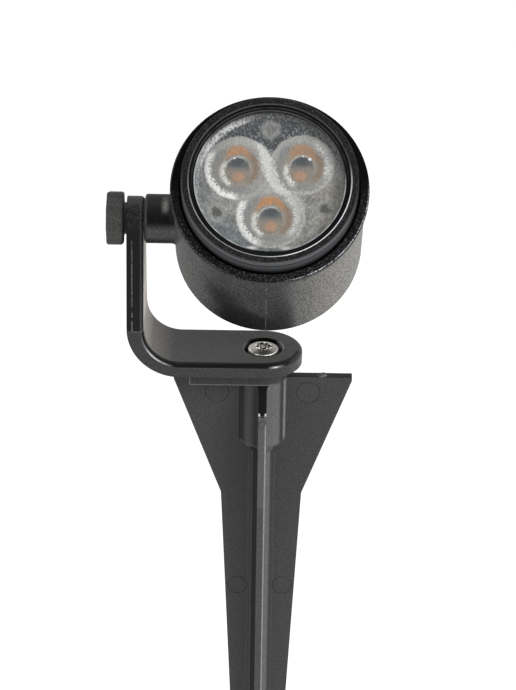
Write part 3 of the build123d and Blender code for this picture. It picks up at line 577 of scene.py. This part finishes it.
def bezel_paint():
    """The bezel's black coat: speckled face, with light and shade painted on, and painted light lines where its
    edges catch the light.
    """
    front, outer_r, face_r, lip_r = 27.8, 21.6, 20.15, 18.61
    s = Shader("bezel_paint")
    x, y, z = s.split(s.head_place())
    r = s.radius(x, y)
    back = s.minus(front, z)
    grain = s.noise(0.33 * MM, detail=2)
    uneven = s.noise(2.6 * MM, detail=2, seed=3.0)
    patchy = s.rise(uneven, 0.3, 0.6)
    low_right = s.sector(x, y, r, 318, 24, 34)
    low = s.sector(x, y, r, 262, 60, 40)
    top = s.sector(x, y, r, 95, 60, 45)

    # tapered side, light and shade painted on: grey near its front edge and lighter low down, black towards the
    # groove, with painted light lines and a dark line
    shade = s.blend(s.fall(back, 2.6, 7.4), tone(30), s.blend(low, tone(42), tone(92)))
    lines = s.math("MAXIMUM", s.band(back, 1.2, 1.45, 0.08), s.band(back, 0.25, 0.55, 0.08))
    shade = s.blend(s.mul(lines, 0.8), shade, s.blend(low, tone(62), tone(122)))
    shade = s.lay(shade, s.band(back, 2.05, 2.55, 0.1), 34, cover=0.85)
    # flat face, with a painted light line round its outer edge, lighter low down
    face = s.mul(s.fall(back, 0.0, 0.08), s.beyond(r, face_r, 0.05))
    shade = s.blend(face, shade, s.blend(s.mul(s.sparkle(seed=4.0), 0.8), tone(40), tone(74)))
    rim = s.mul(s.band(r, outer_r - 0.2, outer_r + 0.02, 0.06), s.fall(back, 0.0, 0.1))
    shade = s.blend(s.mul(rim, 0.5), shade, s.blend(low, tone(50), tone(84)))
    # bevel and slope inside the face, with their light lines painted on as highlights, brightest low on the right
    slope = s.mul(s.within(r, face_r, 0.05), s.fall(back, 0.8, 0.85))
    shade = s.lay(shade, slope, 26)
    bevel = s.mul(s.band(r, face_r - 0.31, face_r - 0.03, 0.06), s.fall(back, 0.35, 0.5))
    # painted highlight along the bevel
    glow = s.blend(low, tone(92), tone(140))
    glow = s.lay(glow, top, 80)
    glow = s.lay(glow, low_right, 252)
    shade = s.blend(s.mul(bevel, s.blend(patchy, 0.75, 1.0)), shade, glow)
    inner = s.mul(s.band(r, 19.0, 19.3, 0.08), slope, top)
    shade = s.lay(shade, s.mul(inner, s.rise(uneven, 0.2, 0.6)), 62)
    # painted highlights along the lip
    lip = s.mul(slope, s.within(r, lip_r, 0.09))
    shade = s.lay(shade, s.mul(lip, top), 110, cover=0.5)
    sides = s.math("MAXIMUM", s.sector(x, y, r, 200, 38, 25), s.sector(x, y, r, 322, 26, 22))
    shade = s.lay(shade, s.mul(lip, sides, s.blend(patchy, 0.5, 1.0)), 185)

    s.set(
        base_color=s.brighten((0.975, 1.0, 1.045), s.mul(shade, s.spread(grain, 1.0, 0.6))),
        roughness=s.spread(grain, 0.36, 0.10),
        specular_ior_level=0.06,
        normal=s.bump(grain, 0.010 * MM, 0.5, s.bevel(0.10 * MM)),
    )
    return s


def knob_plastic():
    """Matte moulded knob, with a little painted shade towards its upper and lower lobes."""
    s = Shader("knob_plastic")
    grain = s.noise(0.36 * MM, detail=3, roughness=0.65)
    cloud = s.noise(4 * MM, detail=2, seed=1.0)
    height = s.split(s.millimetres())[2]
    off_middle = s.math("ABSOLUTE", s.minus(height, PIVOT_UP - 1.0))
    # painted shade towards the upper and lower lobes
    shade = s.blend(s.rise(off_middle, 4.2, 6.6), tone(79), tone(68))
    shade = s.mul(shade, s.spread(s.speckle(0.42 * MM, seed=4.0), 1.0, 0.6))
    s.set(
        base_color=s.brighten((1.0, 0.99, 0.955), s.mul(shade, s.spread(cloud, 1.0, 0.3))),
        roughness=s.spread(grain, 0.62, 0.15),
        specular_ior_level=0.2,
        normal=s.bump(grain, 0.03 * MM, 0.7, s.bevel(0.2 * MM)),
    )
    return s


def moulding(name, colour, uneven, roughness, specular, edge=0.0):
    """Plain moulded material: matte grain, with edges rounded by a radius in metres."""
    s = Shader(name)
    grain = s.noise(0.5 * MM, detail=3)
    s.set(
        base_color=s.brighten(colour, s.spread(grain, 1.0, uneven)),
        roughness=s.spread(grain, roughness, 0.15),
        specular_ior_level=specular,
        normal=s.bump(grain, 0.02 * MM, 0.5, s.bevel(edge) if edge else None),
    )
    return s


def gland_plastic():
    """Black nylon of the cable gland and the knob's washer."""
    return moulding("gland_plastic", (0.024, 0.024, 0.024), 0.83, 0.45, 0.25, edge=0.3 * MM)


def rubber(name, colour):
    return moulding(name, colour, 0.5, 0.7, 0.2)


# -------------------------------- metals
def metal(name, colour, roughness, streak=(1, 1, 1)):
    """Worked metal: tool streaks and small changes of gloss."""
    s = Shader(name)
    streaks = s.noise(0.35 * MM, detail=3, stretch=streak)
    smudge = s.noise(2.5 * MM, detail=2, seed=2.0)
    s.set(
        base_color=s.brighten(colour, s.spread(streaks, 0.97, 0.16)),
        metallic=1.0,
        roughness=s.plus(s.spread(streaks, roughness, 0.14), s.mul(smudge, 0.06)),
        normal=s.bump(streaks, 0.006 * MM, 0.4, s.bevel(0.08 * MM)),
    )
    return s


def screw_steel():
    """The foot's screw: brownish bare steel, with painted reflections across its head and a socket painted dark as
    shade, full of small painted reflections.
    """
    socket_r, head_r = 2.35, 4.0
    s = Shader("screw_steel")
    x, y = s.split(s.millimetres())[:2]
    r = s.radius(x, y)
    streaks = s.noise(0.40 * MM, detail=3, stretch=(1, 1, 0.5))
    sparks = s.noise(0.72 * MM, detail=1, seed=3.0)
    socket = s.within(s.plus(r, s.mul(s.minus(sparks, 0.5), 1.2)), socket_r, 0.15)
    # painted reflections: the head lighter on one side, a painted highlight round its edge, and the socket painted
    # dark as shade with bright grains
    top = s.mix(s.rise(x, -3.0, 3.0), (0.40, 0.37, 0.335), (0.31, 0.285, 0.26))
    shine = s.mul(s.rise(r, head_r - 0.55, head_r - 0.25), s.sector(x, y, r, 265, 60, 35))
    top = s.mix(s.mul(shine, s.rise(streaks, 0.40, 0.55)), top, (0.92, 0.92, 0.90))
    inside = s.mix(s.rise(sparks, 0.45, 0.52), (0.03, 0.027, 0.024), (1.0, 0.98, 0.94))
    s.set(
        base_color=s.brighten(s.mix(socket, top, inside), s.spread(streaks, 1.0, 0.35)),
        metallic=1.0,
        roughness=s.spread(streaks, 0.36, 0.2),
        normal=s.bump(streaks, 0.008 * MM, 0.5, s.bevel(0.08 * MM)),
    )
    return s


# -------------------------------- inner electrics
def board(name, colour, track):
    """Lacquered circuit board with faint tracks under the lacquer."""
    s = Shader(name)
    weave = s.noise(0.6 * MM, detail=2)
    tracks = s.rise(s.noise(2.2 * MM, detail=0, seed=6.0), 0.52, 0.54)
    s.set(
        base_color=s.brighten(s.mix(tracks, colour, track), s.spread(weave, 1.0, 0.12)),
        roughness=s.spread(weave, 0.32, 0.1),
        normal=s.bump(tracks, 0.02 * MM, 0.4),
    )
    return s


def wound_ferrite():
    """Dark ferrite flanges with a copper winding between them."""
    winding_back, winding_front, wire = -1.9, 2.2, 0.45
    s = Shader("inductor")
    z = s.split(s.head_place())[2]
    winding = s.band(z, winding_back, winding_front, 0.1)
    turns = s.math("SINE", s.mul(z, 2 * pi / wire))
    copper = s.brighten((0.50, 0.19, 0.08), s.plus(s.mul(turns, 0.25), 0.75))
    grain = s.noise(0.4 * MM, detail=2)
    s.set(
        base_color=s.mix(winding, s.brighten((1, 1, 1), s.spread(grain, 0.03, 0.03)), copper),
        roughness=s.spread(grain, 0.5, 0.1),
        normal=s.bump(s.mul(turns, winding), 0.08 * MM, 0.6),
    )
    return s


def sleeve(name, colour, gloss):
    s = Shader(name)
    wave = s.noise(1.5 * MM, detail=2)
    s.set(
        base_color=s.brighten(colour, s.spread(wave, 1.0, 0.3)),
        roughness=s.spread(wave, gloss, 0.1),
        normal=s.bump(wave, 0.02 * MM, 0.3),
    )
    return s


def led_dome():
    """Amber phosphor under a clear dome."""
    s = Shader("led_dome")
    z = s.split(s.head_place())[2]
    dome = s.rise(z, BOARD_TOP + 0.65, BOARD_TOP + 0.8)
    grain = s.noise(0.25 * MM, detail=2)
    amber = s.brighten((0.90, 0.42, 0.07), s.spread(grain, 1.0, 0.2))
    s.set(
        base_color=s.mix(dome, (0.8, 0.8, 0.78), amber),
        roughness=s.spread(dome, 0.4, -0.3),
        coat_weight=0.6,
        coat_roughness=0.08,
    )
    return s


# -------------------------------- glass and optic
def window_glass():
    """Clear flat glass: light goes through, and more is mirrored towards grazing."""
    s = Shader("glass")
    facing = s.add("ShaderNodeLayerWeight")
    facing.inputs["Blend"].default_value = 0.5
    grazing = s.math("POWER", facing.outputs["Facing"], 5.0)
    smear = s.noise(6 * MM, detail=3)
    s.set(
        base_color=s.mix(smear, (0.97, 1.0, 0.985), (1.0, 1.0, 1.0)),
        metallic=1.0,
        roughness=s.spread(smear, 0.035, 0.03),
        alpha=s.plus(s.mul(grazing, 0.96), 0.03),
    )
    return s


def short_strokes(s, u, v, d, ring_r):
    """Noise in short strokes that point away from a cell's centre."""
    node = s.add("ShaderNodeCombineXYZ")
    turn = s.math("DIVIDE", ring_r, d)
    s.feed(node.inputs[0], s.mul(u, turn))
    s.feed(node.inputs[1], s.mul(v, turn))
    s.feed(node.inputs[2], s.mul(d, 0.7))
    return s.rise(s.noise(0.34, detail=1, place=node.outputs[0]), 0.28, 0.72)


# One collimator as seen from the front, in mm from the optic's centre or, for the glow, the
# crescent and the spot, from the middle of its dome. A band is (direction, half width, inner
# radius, outer radius, grey) and the crescent (height, radius, direction, half width), with
# directions and half widths in degrees. The bands, glow, crescent and spot are painted light:
# highlights, and the emitter's image seen through the clear plastic.
CellView = namedtuple("CellView", "ring rim dome left right line well glow glow_up glow_r crescent spot")
CELL_VIEWS = (
    CellView(
        ring=(0.3, -8.1), rim=8.45, dome=(0.35, -8.6), well=3.6,
        left=(200, 40, 6.85, 8.4, 236), right=(2, 40, 5.7, 7.3, 204), line=(322, 70, 8.0, 8.45, 190),
        glow=(198, 140, 90), glow_up=2.4, glow_r=3.6, crescent=(-0.8, 4.15, 195, 34), spot=(0.1, -2.2),
    ),
    CellView(
        ring=(-7.7, 4.4), rim=8.45, dome=(-7.9, 4.4), well=3.7,
        left=(207, 50, 7.05, 8.5, 250), right=(65, 22, 7.2, 8.3, 186), line=(290, 40, 7.4, 8.3, 172),
        glow=(192, 142, 100), glow_up=3.2, glow_r=3.15, crescent=(-1.0, 3.85, 190, 40), spot=(0.15, -2.35),
    ),
    CellView(
        ring=(8.0, 5.5), rim=7.95, dome=(7.9, 5.0), well=3.2,
        left=(140, 22, 6.7, 7.8, 168), right=(18, 36, 5.6, 7.7, 218), line=(310, 52, 7.3, 7.9, 186),
        glow=(176, 138, 106), glow_up=2.8, glow_r=3.5, crescent=(-1.3, 4.0, 200, 32), spot=(-0.55, -2.5),
    ),
)


def cell_rim(s, view, uneven, x, y):
    """A cell's grey body with its white bands of painted highlight, its ragged radius and its strokes."""
    u = s.minus(x, view.ring[0])
    v = s.minus(y, view.ring[1])
    r = s.radius(u, v)
    strokes = short_strokes(s, u, v, r, 8.2)
    ragged = s.minus(strokes, 0.5)
    rim_r = s.plus(r, s.plus(s.mul(ragged, 0.22), s.mul(uneven, 0.6)))
    band_r = s.plus(rim_r, s.mul(ragged, 0.55))

    above = s.mul(s.rise(rim_r, 5.4, 7.0), s.sector(u, v, r, 90, 62, 30))
    body = s.mix(above, srgb(157, 156, 153), srgb(174, 174, 171))
    cool = s.mul(s.band(rim_r, 4.6, 6.5, 0.6), s.sector(u, v, r, 205, 66, 34))
    body = s.lay(body, cool, (134, 138, 139), cover=0.85)
    for band, soft, strength in ((view.line, 0.22, 0.8), (view.right, 0.55, 0.45), (view.left, 0.5, 0.92)):
        direction, half, inner, outer, grey = band
        mask = s.mul(s.band(band_r, inner, outer, soft), s.sector(u, v, r, direction, half, 18))
        body = s.lay(body, s.mul(mask, s.blend(strokes, strength, 1.0)), warm_grey(grey))
    return body, rim_r, strokes


def cell_dome(s, view, wobble, u, v):
    """The dome seen through the clear plastic, painted: dark above, beige below, with the emitter's soft image low
    down.
    """
    lower = s.fall(s.plus(v, s.mul(wobble, 0.9)), -1.3, 0.9)
    dome = s.mix(lower, srgb(104, 107, 109), srgb(146, 138, 128))
    dark_r = s.plus(s.radius(s.mul(u, 0.7), s.minus(v, 1.7)), wobble)
    dome = s.lay(dome, s.fall(dark_r, 0.8, 1.9), (80, 84, 87), cover=0.8)
    image_r = s.radius(s.mul(s.minus(u, view.spot[0]), 0.85), s.minus(v, view.spot[1]))
    image_r = s.plus(image_r, s.mul(wobble, 0.5))
    return s.lay(dome, s.fall(image_r, 0.8, 1.7), (184, 146, 121), cover=0.85)


def lens_cell(s, colour, view, broad, x, y):
    """One cell over the plate: its rim, an amber glow painted above the well as the emitter's light seen through
    it, and its dome.
    """
    uneven = s.minus(broad, 0.5)
    body, rim_r, strokes = cell_rim(s, view, uneven, x, y)

    # beige round the well, brown on its right, and painted light: the emitter's amber glow above and a white
    # crescent of highlight lower left
    u = s.minus(x, view.dome[0])
    v = s.minus(y, view.dome[1])
    d = s.radius(u, v)
    close = short_strokes(s, u, v, d, 5.2)
    wobble = s.plus(s.mul(s.minus(close, 0.5), 0.8), uneven)
    soft_d = s.plus(d, s.mul(wobble, 0.8))
    body = s.lay(body, s.fall(soft_d, 4.6, 6.0), (150, 143, 133), cover=0.75)
    brown = s.mul(s.band(soft_d, 3.7, 5.1, 0.5), s.sector(u, v, d, 2, 36, 36))
    body = s.lay(body, brown, (140, 118, 98), cover=0.7)
    glow_r = s.plus(s.radius(u, s.minus(v, view.glow_up)), s.mul(wobble, 0.9))
    glow = s.fall(glow_r, view.glow_r - 0.9, view.glow_r + 0.35)
    glow = s.mul(glow, s.rise(soft_d, view.well - 0.3, view.well + 0.5), s.blend(close, 0.55, 1.0))
    body = s.lay(body, glow, view.glow)
    height, crescent_r, direction, half = view.crescent
    low_v = s.minus(v, height)
    low_r = s.radius(u, low_v)
    crescent = s.stripe(s.plus(low_r, s.mul(wobble, 0.8)), crescent_r, 0.6, 0.5)
    crescent = s.mul(crescent, s.sector(u, low_v, low_r, direction, half, 22), s.blend(close, 0.6, 1.0))
    body = s.lay(body, crescent, (226, 225, 220))

    # the dome, with a pale arc of painted highlight over it
    dome_v = s.plus(v, 0.7)
    dome_r = s.plus(s.radius(s.mul(u, 1.12), s.mul(dome_v, 0.95)), s.mul(wobble, 0.3))
    body = s.mix(s.fall(dome_r, 2.9, 3.6), body, cell_dome(s, view, wobble, u, v))
    upper_left = s.sector(u, dome_v, s.radius(u, dome_v), 122, 44, 26)
    pale = s.mul(s.band(dome_r, 3.3, 3.75, 0.22), upper_left)
    body = s.lay(body, pale, (186, 186, 184), cover=0.8)

    grain = s.blend(s.rise(d, 4.2, 5.6), close, strokes)
    body = s.brighten(body, s.spread(grain, 1.0, 0.42))
    return s.mix(s.within(rim_r, view.rim, 0.2), colour, body)


def optic_plate_colour(s, fine, broad, x, y):
    """The plate: dark at the top, greenish grey low down, with painted light gathered at its edge."""
    wander = s.plus(s.mul(s.minus(broad, 0.5), 1.6), s.mul(s.minus(fine, 0.5), 0.7))
    r = s.radius(x, y)
    colour = s.mix(s.fall(s.plus(y, wander), 5.5, 10.5), srgb(83, 85, 88), srgb(148, 147, 143))
    colour = s.lay(colour, s.mul(s.fall(y, -12.0, -5.0), s.fall(x, 0.0, 8.0)), (126, 132, 133))
    colour = s.lay(colour, s.fall(x, -14.5, -13.0), (138, 141, 141), cover=0.8)
    right = s.mul(s.rise(x, 10.0, 14.0), s.fall(y, 0.0, 5.0))
    colour = s.lay(colour, right, (140, 137, 131), cover=0.85)
    # darker and lighter patches of the pebbled back
    colour = s.brighten(colour, s.spread(s.speckle(2.4 * MM, seed=21.0), 1.0, 0.42))
    # painted light gathered along the edge, most of it at the upper left, with painted highlight streaks
    soft_r = s.plus(r, s.mul(wander, 0.4))
    edge = s.mul(s.rise(soft_r, 17.3, 18.3), s.sector(x, y, r, 80, 70, 30))
    colour = s.lay(colour, edge, (138, 140, 141))
    streak = s.mul(s.band(soft_r, 17.6, 19.0, 0.3), s.sector(x, y, r, 172, 40, 16))
    colour = s.lay(colour, streak, (172, 177, 178))
    streak_r = s.plus(r, s.mul(wander, 0.15))
    streak = s.mul(s.band(streak_r, 17.5, 18.9, 0.45), s.sector(x, y, r, 136, 14, 22))
    colour = s.lay(colour, streak, (236, 237, 236))
    # each post shows as a pale ring round a soft middle
    posts = 0.0
    for degrees, ring_grey, middle_grey in ((90, 165, 128), (209, 172, 84), (336, 156, 84)):
        away = s.distance(x, y, polar(POST_RING_R, degrees))
        away = s.plus(away, s.mul(wander, 0.6))
        colour = s.lay(colour, s.fall(away, 1.6, 3.2), warm_grey(ring_grey), cover=0.75)
        colour = s.lay(colour, s.fall(away, 0.6, 2.0), warm_grey(middle_grey), cover=0.9)
        posts = s.math("MAXIMUM", posts, s.fall(away, 1.4, 2.6))
    # fine grain, strongest at the top, with painted glints between the posts
    above = s.rise(y, 6.0, 9.5)
    glints = s.mul(s.rise(fine, 0.60, 0.95), above, s.fall(r, 17.0, 18.0), s.minus(1.0, posts))
    colour = s.lay(colour, glints, (146, 148, 150), cover=0.5)
    gain = s.mul(s.blend(above, 0.6, 1.0), s.blend(posts, 1.0, 0.4))
    return s.brighten(colour, s.spread(fine, 1.0, gain))


def optic_look():
    """The clear optic: its plate, its three cells, and the light it gathers and mirrors, painted on."""
    s = Shader("optic_clear")
    x, y = s.split(s.millimetres())[:2]
    fine = s.speckle(0.46 * MM, stretch=(1.0, 0.65, 1.0))
    broad = s.noise(1.7 * MM, detail=2, seed=7.0)
    colour = optic_plate_colour(s, fine, broad, x, y)
    for view in CELL_VIEWS:
        colour = lens_cell(s, colour, view, broad, x, y)

    # painted light: where two cells meet, a broad white band of gathered light
    climb = s.minus(y, 5.4)
    bent = s.mul(climb, climb, climb, 0.006)
    across = s.math("ABSOLUTE", s.plus(x, 0.6, bent, s.mul(climb, 0.25)))
    across = s.plus(across, s.minus(fine, 0.5))
    half_width = s.blend(s.rise(y, 6.5, 11.5), 1.5, 0.7)
    joined = s.mul(s.within(s.minus(across, half_width), 0.0, 0.6), s.band(y, -2.6, 10.9, 1.0))
    crossing = s.speckle(0.36 * MM, seed=15.0, stretch=(0.45, 1.0, 1.0))
    colour = s.lay(colour, s.mul(joined, s.blend(crossing, 0.6, 1.0)), (224, 224, 220))

    # painted reflections of small lights
    for spot_x, spot_y, size in ((9.76, 7.06, 0.55), (8.1, 7.8, 0.28), (-8.73, 7.0, 0.34)):
        dot = s.fall(s.distance(x, y, (spot_x, spot_y)), size / 2, size)
        colour = s.lay(colour, dot, (255, 255, 255))
    for spot_x in (-4.3, 4.2):
        stretched = s.radius(s.mul(s.minus(x, spot_x), 0.35), s.minus(y, -16.4))
        colour = s.lay(colour, s.fall(stretched, 0.1, 0.75), (235, 235, 232), cover=0.9)
    s.set(
        base_color=colour,
        roughness=s.spread(fine, 0.36, 0.1),
        specular_ior_level=0.10,
        normal=s.bump(fine, 0.04 * MM, 0.5),
    )
    return s


# -------------------------------- modelled pieces
def new_object(name, content):
    """An object in the scene round a mesh, a light or a camera."""
    piece = bpy.data.objects.new(name, content)
    bpy.context.scene.collection.objects.link(piece)
    return piece


def lathe(name, profile, centre=(0, 0), segments=144):
    """A closed solid turned about +Z. The profile is (r, z) points in mm, from axis to axis."""
    bm = bmesh.new()
    step = 2 * pi / segments
    circle = [(cos(i * step), sin(i * step)) for i in range(segments)]
    rings = []
    for r, z in profile:
        around = circle if r > 0 else [(0, 0)]
        rings.append([bm.verts.new((r * MM * cx, r * MM * cy, z * MM)) for cx, cy in around])
    for lower, upper in zip(rings, rings[1:]):
        for i in range(segments):
            corners = ((lower, i), (lower, i + 1), (upper, i + 1), (upper, i))
            unique = list(dict.fromkeys(ring[k % len(ring)] for ring, k in corners))
            if len(unique) > 2:
                bm.faces.new(unique)
    bmesh.ops.recalc_face_normals(bm, faces=bm.faces)
    mesh = bpy.data.meshes.new(name)
    bm.to_mesh(mesh)
    bm.free()
    mesh.transform(Matrix.Translation((centre[0] * MM, centre[1] * MM, 0)))
    return mesh


def shade_by_angle(mesh, degrees):
    """Smooth shading with sharp edges where faces meet at more than an angle."""
    bm = bmesh.new()
    bm.from_mesh(mesh)
    for face in bm.faces:
        face.smooth = True
    for edge in bm.edges:
        edge.smooth = len(edge.link_faces) == 2 and edge.calc_face_angle() < radians(degrees)
    bm.to_mesh(mesh)
    bm.free()


def arc(centre, radius, start, end, steps):
    """Points on an arc in the (r, z) plane, angles in degrees."""
    turns = [polar(radius, start + (end - start) * i / steps) for i in range(steps + 1)]
    return [(centre[0] + dr, centre[1] + dz) for dr, dz in turns]


def cell_profile():
    """Half section of a collimator: pocket, curved side, rounded rim, well and dome."""
    pocket_r, pocket_top, base_r, rim_r, edge = 2.5, 18.6, 3.2, 7.95, 0.03
    bulge_r, bulge_z = 6.4, 18.4
    well_r, floor_r, floor, dome_r, dome_top = 5.2, 4.2, 23.80, 3.4, 24.1
    steps = 14
    profile = [(0, pocket_top), (pocket_r, pocket_top), (pocket_r, CELL_BACK), (base_r, CELL_BACK)]
    for i in range(1, steps + 1):
        t = i / steps
        start, middle, end = (1 - t) ** 2, 2 * t * (1 - t), t * t
        side_r = start * base_r + middle * bulge_r + end * rim_r
        side_z = start * CELL_BACK + middle * bulge_z + end * OPTIC_BACK
        profile.append((side_r, side_z))
    profile += arc((rim_r - edge, CELL_TOP - edge), edge, 0, 90, 3)
    profile += [(well_r, CELL_TOP), (floor_r, floor), (dome_r, floor)]
    for i in range(1, steps):
        angle = radians(90 * i / steps)
        profile.append((dome_r * cos(angle), floor + (dome_top - floor) * sin(angle)))
    return profile + [(0, dome_top)]


def optic_piece(name, mesh, sharp, look):
    """A piece of the optic in the head, with edges that are sharp from an angle."""
    shade_by_angle(mesh, sharp)
    mesh.materials.clear()
    mesh.materials.append(look.material)
    piece = new_object(name, mesh)
    piece.matrix_world = HEAD_MATRIX
    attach(piece, "head")
    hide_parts("optic_array")


def cut_away(mesh, cutter_meshes):
    """A copy of a mesh without what the cutters take."""
    body = new_object("body", mesh)
    cutters = [new_object("cutter", cutter) for cutter in cutter_meshes]
    for cutter in cutters:
        cut = body.modifiers.new("cut", "BOOLEAN")
        cut.operation = "DIFFERENCE"
        cut.solver = "EXACT"
        cut.object = cutter
    bpy.context.view_layer.update()
    evaluated = body.evaluated_get(bpy.context.evaluated_depsgraph_get())
    finished = bpy.data.meshes.new_from_object(evaluated)
    for used in (body, *cutters):
        bpy.data.objects.remove(used)
    return finished


def make_optic(look):
    """The clear optic: a plate on three posts, and three collimators set in it."""
    chamfer = 0.2
    cut_back, cut_front = 20, 26
    dimple_r, dimple_floor_r, dimple_floor, dimple_edge = 2.1, 1.7, 23.75, 23.88
    cells = [polar(CELL_RING_R, degrees) for degrees in (150, 30, 270)]
    posts = [polar(POST_RING_R, degrees) for degrees in (90, 210, 330)]

    disc = [(0, OPTIC_BACK), (OPTIC_R, OPTIC_BACK), (OPTIC_R, OPTIC_FRONT - chamfer)]
    disc += [(OPTIC_R - chamfer, OPTIC_FRONT), (0, OPTIC_FRONT)]
    hole = [(0, cut_back), (CELL_HOLE_R, cut_back), (CELL_HOLE_R, cut_front), (0, cut_front)]
    dimple = [(0, dimple_floor), (dimple_floor_r, dimple_floor), (dimple_r, dimple_edge)]
    dimple += [(dimple_r, cut_front), (0, cut_front)]
    cutters = [lathe("cutter", hole, centre) for centre in cells]
    cutters += [lathe("cutter", dimple, centre, 48) for centre in posts]
    optic_piece("optic_plate", cut_away(lathe("optic_plate", disc), cutters), 30, look)

    for i, centre in enumerate(cells, 1):
        optic_piece(f"lens_cell_{i}", lathe("lens_cell", cell_profile(), centre), 35, look)
    post = [(0, BOARD_TOP), (POST_R, BOARD_TOP), (POST_R, OPTIC_BACK), (0, OPTIC_BACK)]
    for i, centre in enumerate(posts, 1):
        optic_piece(f"optic_post_{i}", lathe("optic_post", post, centre, 48), 30, look)


# -------------------------------- dress every CAD node
dress(spike_plastic(), "ground_spike")
dress(bracket_paint(), "bracket")
dress(housing_paint(), "lamp_housing")
dress(bezel_paint(), "bezel_ring")
dress(knob_plastic(), "knob")
dress(window_glass(), "front_glass")
dress(led_dome(), "light_emitters")

dress(gland_plastic(), "gland_body", "gland_locknut", "gland_cap", "clamp_washer")
dress(rubber("seal_rubber", (0.022, 0.022, 0.022)), "glass_gasket", "bezel_seal", "gland_seal")
dress(rubber("friction_rubber", (0.02, 0.02, 0.02)), "friction_washer")
dress(rubber("thermal_pad", (0.30, 0.31, 0.34)), "thermal_pad")

stainless = metal("stainless", (0.62, 0.60, 0.57), 0.24, streak=(1, 1, 0.4))
dress(stainless, "knob_stud", "board_screws", "driver_screws")
dress(screw_steel(), "foot_screw")
dress(metal("brass_insert", (0.62, 0.45, 0.20), 0.3), "spike_insert", "pivot_insert")
dress(metal("spreader", (0.75, 0.75, 0.76), 0.32), "heat_spreader")

dress(board("board", (0.80, 0.81, 0.80), (0.74, 0.75, 0.74)), "light_board")
dress(board("driver_board", (0.02, 0.12, 0.05), (0.04, 0.20, 0.08)), "driver_board")
dress(wound_ferrite(), "driver_inductor")
dress(sleeve("capacitor_can", (0.03, 0.05, 0.13), 0.3), "driver_capacitors")
dress(sleeve("lead_insulation", (0.42, 0.03, 0.025), 0.4), "supply_leads")

make_optic(optic_look())

# -------------------------------- studio
FLOOR_Z = cad_box[0].z - 0.5 * MM
FLOOR_SIZE = 8.0
DIFFUSE_LEVEL = 0.45
SEEN_LEVEL = 1.0
CAMERA_PLACE = Vector((-1.40, -572.1, 312.2)) * MM
CAMERA_PITCH = radians(27.95)
CAMERA_ROLL = radians(0.875)


def floor_look():
    """Pale floor that shows white to the camera and in reflections, and keeps the shadow."""
    s = Shader("floor")
    cloud = s.noise(0.4, detail=2)
    s.set(
        base_color=s.brighten((0.80, 0.80, 0.79), s.spread(cloud, 1.0, 0.03)),
        roughness=0.9,
        emission_color=(1.0, 1.0, 1.0),
        emission_strength=s.mul(s.seen(), 0.55),
    )
    return s


def make_floor():
    half = FLOOR_SIZE / 2
    corners = [(-half, -half), (half, -half), (half, half), (-half, half)]
    mesh = bpy.data.meshes.new("floor")
    mesh.from_pydata([(x, y, FLOOR_Z) for x, y in corners], [], [range(len(corners))])
    mesh.materials.append(floor_look().material)
    new_object("floor", mesh)


def make_world():
    """A plain white room: softer for diffuse light, white where it is seen or mirrored."""
    world = bpy.data.worlds.new("studio")
    bpy.context.scene.world = world
    world.use_nodes = True
    room = Nodes(world.node_tree)
    background = world.node_tree.nodes["Background"]
    background.inputs["Color"].default_value = (1, 1, 1, 1)
    room.feed(background.inputs["Strength"], room.blend(room.seen(), DIFFUSE_LEVEL, SEEN_LEVEL))


def softbox(name, place, target, width, height, power):
    """A rectangular light at a place, turned to a target."""
    light = bpy.data.lights.new(name, "AREA")
    light.shape = "RECTANGLE"
    light.size = width
    light.size_y = height
    light.energy = power
    lamp = new_object(name, light)
    lamp.location = place
    aim = Vector(target) - Vector(place)
    lamp.rotation_euler = aim.to_track_quat("-Z", "Y").to_euler()


def make_camera():
    """The photograph's view: a long lens, looking down and rolled a little."""
    turn = Matrix.Rotation(pi / 2 - CAMERA_PITCH, 4, "X") @ Matrix.Rotation(CAMERA_ROLL, 4, "Z")
    lens = bpy.data.cameras.new("camera")
    lens.lens = 129.41
    lens.sensor_width = 36.0
    lens.clip_start = 0.01
    lens.clip_end = 50.0
    camera = new_object("camera", lens)
    camera.matrix_world = Matrix.Translation(CAMERA_PLACE) @ turn
    bpy.context.scene.camera = camera


make_floor()
make_world()
softbox("key", (0.55, -0.45, 0.45), (0, 0, 0.02), 0.35, 0.35, 3.2)
softbox("fill", (-0.6, -0.4, 0.25), (0, 0, 0.02), 0.4, 0.5, 0.8)
softbox("top", (0.05, 0.25, 0.75), (0, 0, 0.03), 0.5, 0.4, 1.2)
make_camera()

view = bpy.context.scene.view_settings
view.view_transform = "Standard"
